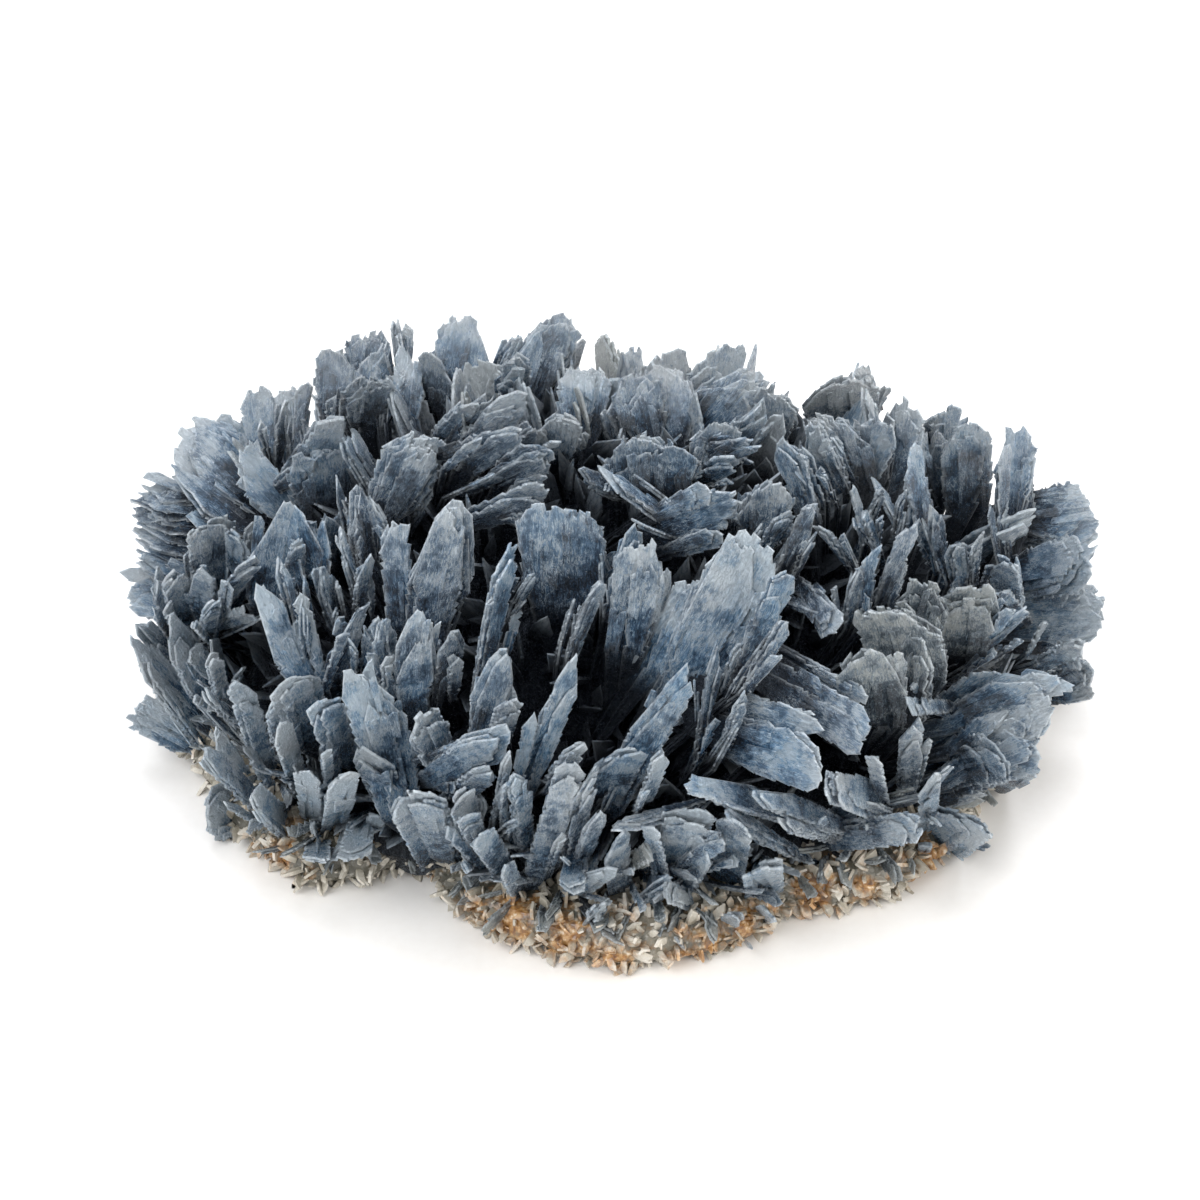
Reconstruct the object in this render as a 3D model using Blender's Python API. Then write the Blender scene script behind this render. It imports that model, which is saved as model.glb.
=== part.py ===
"""Barite crystal cluster: thin tabular barite blades, grown together over a mound of massive barite,
on a low crust of iron-stained matrix.

Metres, +Z up. The origin is on the face that the crust rests on, below the middle of the cluster.
+X runs along the longest side and -Y faces the viewer of the photograph.
"""

import math
import random
from collections import namedtuple

import bmesh
import bpy
from mathutils import Vector, noise

MM = 0.001

# Size of the cluster
HALF_WIDTH = 60 * MM
REACH_FRONT = 50 * MM
REACH_BACK = 34 * MM
CROWN_RISE = 31 * MM
FLANK_DROP = 55 * MM
HEART = Vector((0, 9 * MM, 16 * MM))

# The crust of matrix, and the parting between it and the barite
CRUST_TOP = 5.0 * MM
PARTING = 0.3 * MM

# Where a blade's tip, its visible foot and the massive barite lie, as shares of the cluster's reach.
# The massive barite flares out towards the crust, less at the rear than at the front.
TIP_LEVEL = 1.0
FOOT_LEVEL = 0.78
MOUND_LEVEL = 0.62
MOUND_FRONT_LEVEL = 0.90
MOUND_REAR_LEVEL = 0.74
MOUND_SIDES = 16
MOUND_HEIGHTS = [3 * MM, 8 * MM, 15 * MM, 22 * MM, 29 * MM, 33 * MM]
MOUND_LUMPS = 0.10

# Blades. The ones narrower than the least width are too fine for this solid. The others are made a
# little wider than they are seen, to take in the small laths along their edges.
LEAST_WIDTH = 4.2 * MM
WIDENING = 1.12
BURIED = 3 * MM
LONGEST_BURIAL = 26 * MM
THINNEST = 0.8 * MM
THICKNESS_PER_WIDTH = 0.085
FLOOR_CLEARANCE = 1.0 * MM

# The photograph: 1200 by 1200 pixels, taken from the front and above
PHOTO_MIDDLE = 600
VIEW_ELEVATION = math.radians(40)
VIEW_DISTANCE = 500 * MM
FOCAL_PIXELS = 4200
AIM = Vector((-2 * MM, 0, 22.5 * MM))
VIEW_AHEAD = Vector((0, math.cos(VIEW_ELEVATION), -math.sin(VIEW_ELEVATION)))
VIEW_UP = Vector((0, math.sin(VIEW_ELEVATION), math.cos(VIEW_ELEVATION)))
VIEWPOINT = AIM - VIEW_DISTANCE * VIEW_AHEAD

# A blade as the photograph shows it. tip and foot are pixels of the photograph, at the blade's free end
# and where it goes out of sight between its neighbours. width is in millimetres. turn is how far the
# flat face is turned from the viewer, in degrees, to the right of a blade that points up. near brings
# the blade towards the viewer, in millimetres. end is the shape of its free end.
Blade = namedtuple("Blade", "tip foot width turn near end")

SEEN_BLADES = [
    # The fan at the left, from the top down
    Blade((178, 428), (258, 498), 11.0, 8, 0, "fan"),
    Blade((222, 409), (263, 492), 8.0, -20, -2, "fan"),
    Blade((255, 385), (266, 482), 4.4, 15, 0, "chisel"),
    Blade((285, 384), (280, 470), 4.2, -25, -1, "chisel"),
    Blade((284, 402), (278, 455), 2.4, 50, 1.5, "chisel"),
    Blade((307, 379), (294, 462), 3.2, 35, 0, "chisel"),
    Blade((168, 466), (240, 528), 5.0, 50, 2, "point"),
    Blade((136, 480), (210, 508), 5.0, 35, 0, "point"),
    Blade((127, 500), (195, 510), 4.5, 40, 1, "point"),
    Blade((125, 514), (195, 522), 4.5, 30, 0, "point"),
    Blade((129, 528), (196, 545), 4.5, 40, 0, "point"),
    Blade((131, 543), (192, 568), 4.0, 55, -1, "point"),
    Blade((134, 560), (188, 578), 3.5, 45, -2, "point"),
    # In front of the fan
    Blade((208, 516), (214, 604), 6.6, 18, 3, "fan"),
    Blade((238, 532), (236, 600), 4.0, -40, -1, "fan"),
    Blade((340, 418), (284, 494), 4.6, 30, 0, "chisel"),
    Blade((341, 346), (338, 418), 6.2, 10, 0, "fan"),
    Blade((370, 326), (358, 395), 5.5, -10, -3, "fan"),
    Blade((370, 374), (362, 428), 7.0, 15, 2, "fan"),
    Blade((391, 337), (378, 398), 3.6, 30, -1, "point"),
    Blade((397, 317), (400, 372), 2.2, 75, 0, "chisel"),
    Blade((405, 321), (404, 370), 2.6, 40, -2, "chisel"),
    Blade((281, 494), (266, 602), 6.2, 12, 3, "point"),
    Blade((294, 499), (318, 585), 4.6, -35, 1, "point"),
    Blade((340, 474), (352, 545), 2.0, 50, 0, "point"),
    Blade((356, 477), (374, 565), 4.2, 20, 1, "point"),
    Blade((374, 492), (388, 562), 2.6, -45, 0, "point"),
    Blade((328, 508), (338, 565), 3.0, 25, -3, "point"),
    Blade((337, 523), (360, 592), 2.0, 55, 1, "point"),
    Blade((367, 554), (358, 610), 2.4, 40, 0, "point"),
    Blade((280, 555), (306, 662), 2.8, 45, 3, "point"),
    Blade((304, 538), (284, 585), 2.4, 40, 1, "point"),
    Blade((256, 560), (204, 622), 2.6, 50, 2, "point"),
    Blade((232, 578), (221, 625), 2.2, -45, 1, "point"),
    # The left flank
    Blade((116, 592), (172, 604), 5.2, 15, -1, "fan"),
    Blade((150, 568), (172, 626), 3.0, 35, 2, "point"),
    Blade((172, 568), (182, 625), 3.6, 15, 1, "chisel"),
    Blade((199, 560), (206, 624), 3.8, -30, 3, "point"),
    Blade((212, 598), (206, 640), 2.4, 30, 3, "point"),
    Blade((134, 622), (170, 650), 3.0, 30, -1, "point"),
    Blade((127, 632), (200, 722), 4.2, 40, 1, "point"),
    Blade((163, 612), (208, 700), 4.6, 35, 1, "point"),
    Blade((138, 657), (202, 744), 3.4, 55, 0, "point"),
    Blade((134, 700), (198, 738), 6.4, 20, 0, "fan"),
    Blade((214, 655), (224, 712), 2.4, 35, 2, "point"),
    Blade((207, 692), (244, 732), 1.8, 70, 2, "chisel"),
    Blade((237, 677), (272, 792), 3.4, 15, 4, "point"),
    Blade((254, 581), (306, 688), 4.2, 20, 4, "point"),
    Blade((288, 672), (308, 742), 6.4, 15, 3, "fan"),
    Blade((324, 700), (342, 762), 4.6, 25, 4, "chisel"),
    Blade((279, 722), (308, 815), 3.2, 30, 4, "point"),
    Blade((363, 656), (402, 812), 6.8, 8, 5, "point"),
    Blade((382, 608), (388, 682), 3.2, 30, 3, "point"),
    Blade((374, 618), (368, 680), 3.0, -35, 1, "point"),
    Blade((354, 598), (330, 688), 3.6, 35, 2, "point"),
    Blade((318, 560), (334, 622), 3.2, 55, 0, "point"),
    Blade((304, 600), (314, 680), 2.2, 50, 1, "point"),
    Blade((204, 748), (292, 836), 3.6, 45, 3, "point"),
    Blade((246, 790), (304, 838), 3.4, 40, 4, "point"),
    Blade((250, 806), (306, 852), 2.4, 60, 4, "point"),
    Blade((202, 800), (258, 836), 6.2, 15, 0, "fan"),
    Blade((212, 824), (272, 858), 4.0, 40, 0, "point"),
    Blade((326, 750), (330, 800), 1.6, 30, 4, "chisel"),
    Blade((344, 768), (330, 852), 3.8, 25, 4, "point"),
    Blade((306, 770), (318, 850), 3.6, -35, 1, "point"),
    Blade((366, 748), (392, 808), 4.8, -30, 1, "point"),
    Blade((316, 867), (322, 820), 3.4, 15, 3, "chisel"),
    Blade((352, 864), (362, 812), 4.2, 20, 1, "fan"),
    # The crown, from the left to the middle
    Blade((470, 313), (456, 392), 7.6, 8, 0, "chisel"),
    Blade((567, 306), (534, 392), 7.8, 8, 0, "point"),
    Blade((549, 312), (522, 388), 4.6, 30, 1, "point"),
    Blade((517, 334), (502, 372), 3.2, 50, -1, "point"),
    Blade((411, 343), (404, 424), 4.2, 15, 1, "point"),
    Blade((437, 350), (438, 405), 4.8, -20, 0, "fan"),
    Blade((516, 358), (514, 402), 4.0, 15, 2, "fan"),
    Blade((476, 402), (438, 436), 3.0, 35, 2, "point"),
    Blade((492, 397), (460, 442), 3.0, 30, 1, "point"),
    Blade((534, 396), (468, 448), 5.2, 30, 2, "chisel"),
    Blade((428, 430), (386, 512), 7.6, 12, 1, "fan"),
    Blade((519, 430), (456, 472), 4.8, 35, 3, "fan"),
    Blade((543, 430), (500, 458), 2.6, 50, 1, "point"),
    Blade((546, 446), (498, 480), 4.4, 30, 3, "fan"),
    Blade((555, 450), (462, 494), 3.6, 58, 3, "point"),
    Blade((586, 360), (580, 432), 6.6, 15, 0, "fan"),
    Blade((566, 410), (558, 455), 5.2, -15, 0, "fan"),
    Blade((630, 370), (642, 432), 7.4, 10, 0, "chisel"),
    Blade((672, 362), (668, 434), 7.0, -12, -1, "point"),
    Blade((645, 432), (650, 486), 12.0, 0, 2, "fan"),
    Blade((596, 471), (676, 524), 3.4, 62, 3, "chisel"),
    Blade((578, 468), (612, 492), 2.6, 50, 1, "point"),
    Blade((744, 498), (664, 530), 5.4, 25, 3, "chisel"),
    Blade((765, 476), (762, 540), 7.2, 12, -1, "fan"),
    Blade((549, 490), (464, 524), 4.2, 50, 1, "fan"),
    # The middle
    Blade((560, 498), (562, 600), 10.4, 5, 2, "fan"),
    Blade((458, 495), (432, 636), 7.6, 10, 4, "point"),
    Blade((510, 541), (481, 688), 3.4, 50, 4, "chisel"),
    Blade((536, 566), (512, 612), 1.8, 60, 1, "point"),
    Blade((638, 516), (618, 610), 4.4, 45, 1, "point"),
    Blade((646, 537), (628, 646), 6.6, 12, 4, "chisel"),
    Blade((597, 576), (570, 656), 3.0, 55, 3, "chisel"),
    Blade((580, 650), (526, 790), 3.8, 40, 5, "point"),
    Blade((503, 645), (484, 738), 5.2, 20, 4, "point"),
    Blade((512, 700), (494, 748), 3.4, 30, 3, "chisel"),
    Blade((513, 729), (432, 780), 5.2, 18, 5, "point"),
    Blade((497, 764), (450, 798), 3.4, 40, 4, "point"),
    Blade((510, 750), (494, 832), 2.2, 55, 4, "point"),
    Blade((424, 610), (414, 706), 5.4, 15, 3, "point"),
    Blade((455, 625), (442, 692), 3.8, 40, 0, "point"),
    Blade((424, 716), (444, 766), 5.0, 25, 1, "fan"),
    Blade((762, 534), (680, 688), 8.6, 15, 5, "chisel"),
    Blade((790, 567), (730, 700), 4.0, 32, 6, "chisel"),
    Blade((791, 622), (738, 698), 2.2, 40, 7, "chisel"),
    Blade((834, 630), (802, 590), 3.6, 25, 2, "fan"),
    Blade((690, 662), (612, 806), 5.0, 25, 6, "point"),
    Blade((665, 752), (642, 804), 2.4, 45, 6, "point"),
    Blade((720, 640), (698, 758), 2.2, 55, 2, "point"),
    Blade((745, 690), (722, 756), 2.2, 50, 5, "point"),
    Blade((606, 832), (702, 804), 2.6, 50, 6, "point"),
    Blade((626, 742), (600, 804), 5.2, 25, 2, "fan"),
    # The crown, from the middle to the right
    Blade((756, 370), (714, 424), 6.0, 15, 1, "chisel"),
    Blade((778, 386), (772, 436), 5.6, -15, 0, "fan"),
    Blade((720, 415), (716, 466), 5.6, 20, 1, "fan"),
    Blade((766, 404), (736, 446), 4.0, 35, 0, "point"),
    Blade((757, 432), (702, 462), 4.2, 40, 2, "point"),
    Blade((734, 462), (700, 478), 3.2, 50, 1, "fan"),
    Blade((780, 437), (808, 512), 3.2, -30, 5, "chisel"),
    Blade((793, 447), (822, 506), 3.2, -40, 4, "chisel"),
    Blade((800, 424), (838, 484), 4.6, -30, 2, "chisel"),
    Blade((832, 408), (850, 476), 7.0, -15, 0, "fan"),
    Blade((840, 374), (846, 426), 9.5, 10, -1, "fan"),
    Blade((870, 371), (866, 425), 3.6, 40, 0, "point"),
    Blade((866, 385), (884, 476), 2.4, 60, 3, "chisel"),
    Blade((905, 396), (902, 470), 5.2, -20, 1, "fan"),
    Blade((911, 446), (922, 535), 4.0, 45, 4, "chisel"),
    Blade((943, 405), (942, 480), 5.0, 20, 0, "fan"),
    Blade((966, 418), (968, 508), 6.2, 8, 3, "fan"),
    Blade((1002, 442), (998, 560), 3.0, 60, 4, "chisel"),
    Blade((1012, 425), (1012, 505), 5.0, -20, 1, "fan"),
    Blade((851, 480), (864, 548), 1.8, 55, 2, "point"),
    Blade((863, 510), (880, 560), 1.6, 55, 3, "chisel"),
    Blade((869, 543), (862, 622), 2.4, 30, 4, "chisel"),
    Blade((915, 519), (880, 600), 2.8, 40, 4, "chisel"),
    Blade((884, 488), (868, 526), 1.4, 60, 2, "chisel"),
    Blade((901, 490), (894, 542), 1.4, 55, 2, "chisel"),
    Blade((934, 505), (944, 575), 2.6, 40, 1, "point"),
    Blade((956, 545), (962, 595), 3.0, 30, -2, "chisel"),
    Blade((976, 535), (974, 585), 2.2, 50, 1, "chisel"),
    Blade((857, 564), (846, 625), 1.8, 50, 3, "point"),
    Blade((820, 520), (858, 578), 2.0, -55, 1, "chisel"),
    Blade((814, 503), (780, 572), 3.0, 40, 4, "chisel"),
    Blade((790, 512), (762, 552), 2.6, 40, 3, "chisel"),
    # The right flank
    Blade((1110, 512), (1034, 522), 8.6, 8, -1, "fan"),
    Blade((1121, 550), (1064, 568), 3.2, -45, -1, "point"),
    Blade((1086, 560), (1020, 580), 7.0, -10, 2, "fan"),
    Blade((1109, 605), (1034, 618), 8.2, 6, 0, "fan"),
    Blade((1003, 552), (1012, 612), 3.8, -25, 3, "point"),
    Blade((1010, 604), (980, 655), 2.2, 50, 4, "chisel"),
    Blade((1030, 600), (964, 672), 2.8, 55, 2, "point"),
    Blade((936, 577), (914, 642), 5.8, 12, 3, "chisel"),
    Blade((974, 582), (962, 648), 7.0, 5, 4, "chisel"),
    Blade((888, 600), (912, 690), 9.4, -8, 5, "chisel"),
    Blade((868, 645), (876, 728), 8.0, 5, 6, "chisel"),
    Blade((874, 738), (786, 684), 6.0, 25, 5, "fan"),
    Blade((827, 768), (738, 742), 6.8, 22, 6, "fan"),
    Blade((913, 721), (906, 800), 3.0, 20, 6, "point"),
    Blade((872, 758), (884, 802), 2.2, -35, 7, "chisel"),
    Blade((826, 786), (882, 796), 4.0, 20, 6, "fan"),
    Blade((837, 797), (888, 818), 2.6, 35, 7, "point"),
    Blade((1060, 690), (958, 732), 9.4, 8, 4, "fan"),
    Blade((1000, 762), (936, 776), 6.0, 20, 3, "fan"),
    Blade((1096, 664), (1056, 684), 4.0, 15, 0, "fan"),
    Blade((1086, 641), (1038, 668), 3.2, 40, 2, "point"),
    Blade((1029, 762), (996, 788), 3.6, 25, 2, "point"),
    Blade((945, 762), (922, 804), 1.4, 60, 6, "point"),
    Blade((974, 812), (922, 862), 7.0, 10, 3, "fan"),
    Blade((924, 826), (832, 838), 4.4, 30, 6, "fan"),
    Blade((910, 706), (948, 706), 2.4, 20, 4, "fan"),
    Blade((930, 775), (926, 852), 3.0, 30, 5, "point"),
    # The front flank
    Blade((671, 778), (800, 818), 4.0, 35, 7, "point"),
    Blade((747, 790), (852, 828), 3.6, 35, 7, "point"),
    Blade((720, 815), (806, 858), 2.6, 50, 6, "point"),
    Blade((780, 824), (838, 838), 2.0, 40, 7, "chisel"),
    Blade((574, 764), (532, 888), 3.8, 22, 7, "chisel"),
    Blade((583, 742), (552, 782), 2.6, 45, 6, "point"),
    Blade((592, 771), (568, 862), 2.8, 45, 5, "point"),
    Blade((603, 808), (576, 868), 2.6, 50, 5, "point"),
    Blade((570, 894), (580, 850), 3.2, 20, 5, "fan"),
    Blade((612, 868), (544, 914), 3.0, 35, 6, "point"),
    Blade((617, 835), (622, 906), 3.6, 25, 3, "point"),
    Blade((588, 906), (602, 954), 4.0, 12, 4, "point"),
    Blade((650, 826), (671, 912), 2.4, -35, 7, "chisel"),
    Blade((728, 834), (672, 872), 3.0, 25, 6, "point"),
    Blade((692, 816), (652, 884), 6.0, 15, 1, "fan"),
    Blade((736, 822), (726, 900), 4.6, -20, 4, "fan"),
    Blade((762, 864), (766, 924), 4.8, 10, 3, "fan"),
    Blade((670, 890), (716, 912), 3.0, 30, 4, "fan"),
    Blade((664, 878), (620, 942), 2.6, 35, 5, "point"),
    Blade((626, 955), (696, 922), 2.0, 50, 5, "point"),
    Blade((742, 912), (696, 936), 2.4, 35, 5, "point"),
    Blade((424, 788), (446, 856), 4.2, -20, 4, "chisel"),
    Blade((455, 790), (472, 834), 3.8, 20, 3, "chisel"),
    Blade((466, 812), (480, 852), 3.0, 10, 5, "chisel"),
    Blade((480, 832), (506, 874), 3.4, 15, 5, "chisel"),
    Blade((516, 818), (500, 835), 1.4, 60, 6, "point"),
    Blade((517, 770), (524, 848), 3.0, 35, 4, "point"),
    Blade((500, 860), (530, 920), 2.6, 30, 4, "point"),
    Blade((404, 800), (432, 862), 4.6, 15, 2, "fan"),
]

# Free ends: points across and along a blade, as shares of its width and of its length in sight. Each
# outline starts and ends at the buried end, which BURIED_END stands for.
BURIED_END = None
END_OUTLINES = {
    "chisel": [
        (-0.36, BURIED_END), (-0.50, 0.72), (-0.44, 0.95), (0.12, 1.0), (0.50, 0.78), (0.36, BURIED_END),
    ],
    "fan": [(-0.32, BURIED_END), (-0.50, 0.60), (-0.36, 0.88), (0.02, 1.0), (0.50, 0.66), (0.32, BURIED_END)],
    "point": [(-0.34, BURIED_END), (-0.50, 0.50), (-0.16, 0.92), (0.08, 1.0), (0.50, 0.55), (0.34, BURIED_END)],
}

# The lower rim of the crust as the photograph shows it, from the left end round the front to the right
SEEN_RIM = [
    (166, 690), (184, 745), (212, 802), (252, 848), (300, 884), (352, 884), (400, 872), (436, 884),
    (478, 928), (520, 946), (562, 958), (606, 966), (655, 963), (702, 960), (742, 945), (798, 912),
    (838, 912), (880, 899), (922, 880), (956, 842), (984, 792), (1004, 740),
]
RIM_HEIGHT = 1.2 * MM
REAR_RIM_POINTS = 18
REAR_RIM_REACH = 0.90

# Rings of the crust from its resting face up: height, and inset from the rim
CRUST_RINGS = [
    (0.0, 3.4 * MM), (0.5 * MM, 2.2 * MM), (1.9 * MM, 0.0), (3.4 * MM, 0.5 * MM), (CRUST_TOP, 1.8 * MM),
]
RESTING_RINGS = 1
CRUST_LUMPS = 0.9 * MM
LUMP_SPACING = 5 * MM

# The blades of the rear flank, which the photograph doesn't show, grow by rule
REAR_SEED = 11
REAR_RINGS = [(-15, 14), (1, 14), (18, 14), (35, 12), (53, 9), (72, 5)]
REAR_FROM = math.radians(-6)
REAR_TO = math.radians(186)
REAR_WIDTHS = (5.0, 9.5)
REAR_LENGTHS = (0.62, 0.74)
REAR_LEVELS = (0.94, 1.02)
ROOT_OF_THE_FAN = Vector((0, 4 * MM, 6 * MM))


def reach_towards(offset):
    """Half-widths of the cluster on the side of its heart that an offset lies on."""
    return Vector((
        HALF_WIDTH,
        REACH_BACK if offset.y > 0 else REACH_FRONT,
        CROWN_RISE if offset.z > 0 else FLANK_DROP,
    ))


def level_at(point):
    """0 at the heart of the cluster, 1 on the surface that the blades' tips reach."""
    offset = point - HEART
    reach = reach_towards(offset)
    return Vector((offset.x / reach.x, offset.y / reach.y, offset.z / reach.z)).length


def mound_level(height, rearward):
    """How far out the massive barite reaches: it flares out towards the crust, most at the front."""
    share = (HEART.z - height) / (HEART.z - CRUST_TOP)
    flare = min(max(share, 0.0), 1.0)
    base = MOUND_FRONT_LEVEL + min(max(rearward, 0.0), 1.0) * (MOUND_REAR_LEVEL - MOUND_FRONT_LEVEL)
    return MOUND_LEVEL + flare * (base - MOUND_LEVEL)


def sight_line(pixel):
    """Unit direction from the viewpoint through a pixel of the photograph."""
    across = (pixel[0] - PHOTO_MIDDLE) / FOCAL_PIXELS
    up = (PHOTO_MIDDLE - pixel[1]) / FOCAL_PIXELS
    return (VIEW_AHEAD + Vector((across, 0, 0)) + up * VIEW_UP).normalized()


def on_level(pixel, level):
    """Where the sight line of a pixel meets a level, or passes nearest to it."""
    line = sight_line(pixel)
    nearest = None
    step = 0.4 * MM
    distance = VIEW_DISTANCE - 110 * MM
    while distance < VIEW_DISTANCE + 110 * MM:
        point = VIEWPOINT + distance * line
        found = level_at(point)
        if found <= level:
            return point
        if nearest is None or found < nearest[0]:
            nearest = (found, point)
        distance += step
    return nearest[1]


def on_height(pixel, height):
    """Where the sight line of a pixel meets a level plane."""
    line = sight_line(pixel)
    return VIEWPOINT + (height - VIEWPOINT.z) / line.z * line


def burial(foot, axis):
    """How far a blade goes on below its foot before it is well inside the massive barite."""
    length = 0.0
    step = 1.0 * MM
    while length < LONGEST_BURIAL:
        length += step
        point = foot - length * axis
        if level_at(point) < mound_level(point.z, (point.y - HEART.y) / REACH_BACK):
            return length + BURIED
    return None


def rooted(tip, foot, line):
    """Move a foot deeper along its sight line until the blade's run ends in the massive barite."""
    deepest = 14 * MM
    step = 1.0 * MM
    depth = 0.0
    while depth <= deepest:
        moved = foot + depth * line
        axis = (tip - moved).normalized()
        length = burial(moved, axis)
        if length is not None:
            return moved, length
        depth += step
    return foot, LONGEST_BURIAL


def blade_frame(tip, foot, turn):
    """Directions along, across and out of a blade's flat face."""
    along = (tip - foot).normalized()
    towards_viewer = (VIEWPOINT - foot).normalized()
    facing = (towards_viewer - towards_viewer.dot(along) * along).normalized()
    side = along.cross(facing)
    out = facing * math.cos(turn) + side * math.sin(turn)
    return along, along.cross(out), out


def blade_mesh(name, tip, foot, buried, width, turn, end, mirrored):
    """A flat blade of barite: its outline drawn on both sides of its middle plane, and joined."""
    along, across, out = blade_frame(tip, foot, turn)
    length = (tip - foot).length
    half = 0.5 * (THINNEST + THICKNESS_PER_WIDTH * width)
    hand = -1 if mirrored else 1
    bm = bmesh.new()
    rings = []
    for side in (-1, 1):
        ring = []
        for share, run in END_OUTLINES[end]:
            reach = -buried if run is BURIED_END else run * length
            thinning = 0.7 if run is not BURIED_END and run > 0.9 else 1.0
            at = foot + along * reach + across * hand * share * width + out * side * half * thinning
            ring.append(bm.verts.new(at))
        rings.append(ring)
    bm.faces.new(rings[0])
    bm.faces.new(rings[1])
    count = len(rings[0])
    for i in range(count):
        after = (i + 1) % count
        bm.faces.new((rings[0][i], rings[0][after], rings[1][after], rings[1][i]))
    bmesh.ops.recalc_face_normals(bm, faces=bm.faces)
    mesh = bpy.data.meshes.new(name)
    bm.to_mesh(mesh)
    bm.free()
    return mesh


def seen_blades():
    """Blades that the photograph shows, each where its pixels put it."""
    rng = random.Random(5)
    meshes = []
    for number, blade in enumerate(SEEN_BLADES):
        if blade.width * MM < LEAST_WIDTH:
            continue
        tip_line = sight_line(blade.tip)
        foot_line = sight_line(blade.foot)
        tip = on_level(blade.tip, TIP_LEVEL) - blade.near * MM * tip_line
        foot = on_level(blade.foot, FOOT_LEVEL) - blade.near * MM * foot_line
        foot, buried = rooted(tip, foot, foot_line)
        width = WIDENING * blade.width * MM
        turn = math.radians(blade.turn)
        meshes.append(blade_mesh(
            f"seen_blade_{number:03d}", tip, foot, buried, width, turn, blade.end, rng.random() < 0.5,
        ))
    return meshes


def direction(azimuth, elevation):
    """Unit vector at an azimuth from +X towards +Y and an elevation above the ground."""
    return Vector((
        math.cos(elevation) * math.cos(azimuth),
        math.cos(elevation) * math.sin(azimuth),
        math.sin(elevation),
    ))


def rear_blades():
    """Blades of the rear flank: rings that fan out from the root, each blade turned its own way."""
    rng = random.Random(REAR_SEED)
    meshes = []
    for elevation, count in REAR_RINGS:
        for i in range(count):
            azimuth = REAR_FROM + (REAR_TO - REAR_FROM) * (i + rng.uniform(0.2, 0.8)) / count
            tilt = math.radians(elevation + rng.uniform(-5, 5))
            towards = direction(azimuth, tilt)
            reach = reach_towards(towards)
            scale = Vector((towards.x / reach.x, towards.y / reach.y, towards.z / reach.z)).length
            tip = HEART + towards / scale * rng.uniform(*REAR_LEVELS)
            tip.z = max(tip.z, 5 * MM)
            root = ROOT_OF_THE_FAN + Vector((0.55 * tip.x, 0.3 * tip.y, rng.uniform(0, 6) * MM))
            foot = tip.lerp(root, rng.uniform(*REAR_LENGTHS))
            width = rng.uniform(*REAR_WIDTHS) * MM
            end = rng.choice(sorted(END_OUTLINES))
            meshes.append(blade_mesh(
                f"rear_blade_{elevation}_{i}", tip, foot, BURIED + 6 * MM, width,
                rng.uniform(0, math.pi), end, rng.random() < 0.5,
            ))
    return meshes


def mound_mesh():
    """The massive barite that the blades grow out of: a lumpy dome, flared towards the crust."""
    bm = bmesh.new()
    rings = []
    for height in MOUND_HEIGHTS:
        ring = []
        for i in range(MOUND_SIDES):
            turn = 2 * math.pi * i / MOUND_SIDES
            towards = Vector((math.cos(turn), math.sin(turn), height - HEART.z))
            reach = reach_towards(towards)
            level = mound_level(height, towards.y) * (1.03 + MOUND_LUMPS * noise.noise(towards * 1.7))
            spread = math.sqrt(level ** 2 - (towards.z / reach.z) ** 2)
            at = HEART + Vector((towards.x * reach.x * spread, towards.y * reach.y * spread, towards.z))
            ring.append(bm.verts.new(at))
        rings.append(ring)
    for lower, upper in zip(rings, rings[1:]):
        for i in range(MOUND_SIDES):
            after = (i + 1) % MOUND_SIDES
            bm.faces.new((lower[i], lower[after], upper[after], upper[i]))
    bm.faces.new(rings[0])
    bm.faces.new(rings[-1])
    bmesh.ops.triangulate(bm, faces=bm.faces)
    bmesh.ops.recalc_face_normals(bm, faces=bm.faces)
    mesh = bpy.data.meshes.new("mound")
    bm.to_mesh(mesh)
    bm.free()
    return mesh


def rim_points():
    """The crust's rim on the ground: the seen front, closed by an arc round the rear."""
    front = [on_height(pixel, RIM_HEIGHT) for pixel in SEEN_RIM]
    left = front[0]
    right = front[-1]
    rear = []
    for i in range(1, REAR_RIM_POINTS + 1):
        turn = math.pi * i / (REAR_RIM_POINTS + 1)
        share = 0.5 - 0.5 * math.cos(turn)
        base = right.lerp(left, share)
        bulge = (REACH_BACK * REAR_RIM_REACH + HEART.y - base.y) * math.sin(turn) ** 0.7
        rear.append(Vector((base.x, base.y + bulge, RIM_HEIGHT)))
    return front + rear


def inset_ring(rim, height, inset):
    """The rim moved inwards along its own normals, at a height."""
    count = len(rim)
    ring = []
    for i in range(count):
        run = rim[(i + 1) % count] - rim[i - 1]
        inwards = Vector((-run.y, run.x, 0)).normalized()
        moved = rim[i] + inset * inwards
        ring.append(Vector((moved.x, moved.y, height)))
    return ring


def lumpy(point, resting):
    """The druse on the crust's side: small lumps, none on the face that it rests on."""
    if resting:
        return point
    push = noise.noise(point / LUMP_SPACING) * CRUST_LUMPS
    outwards = Vector((point.x, point.y - HEART.y, 0)).normalized()
    return point + push * outwards


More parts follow.
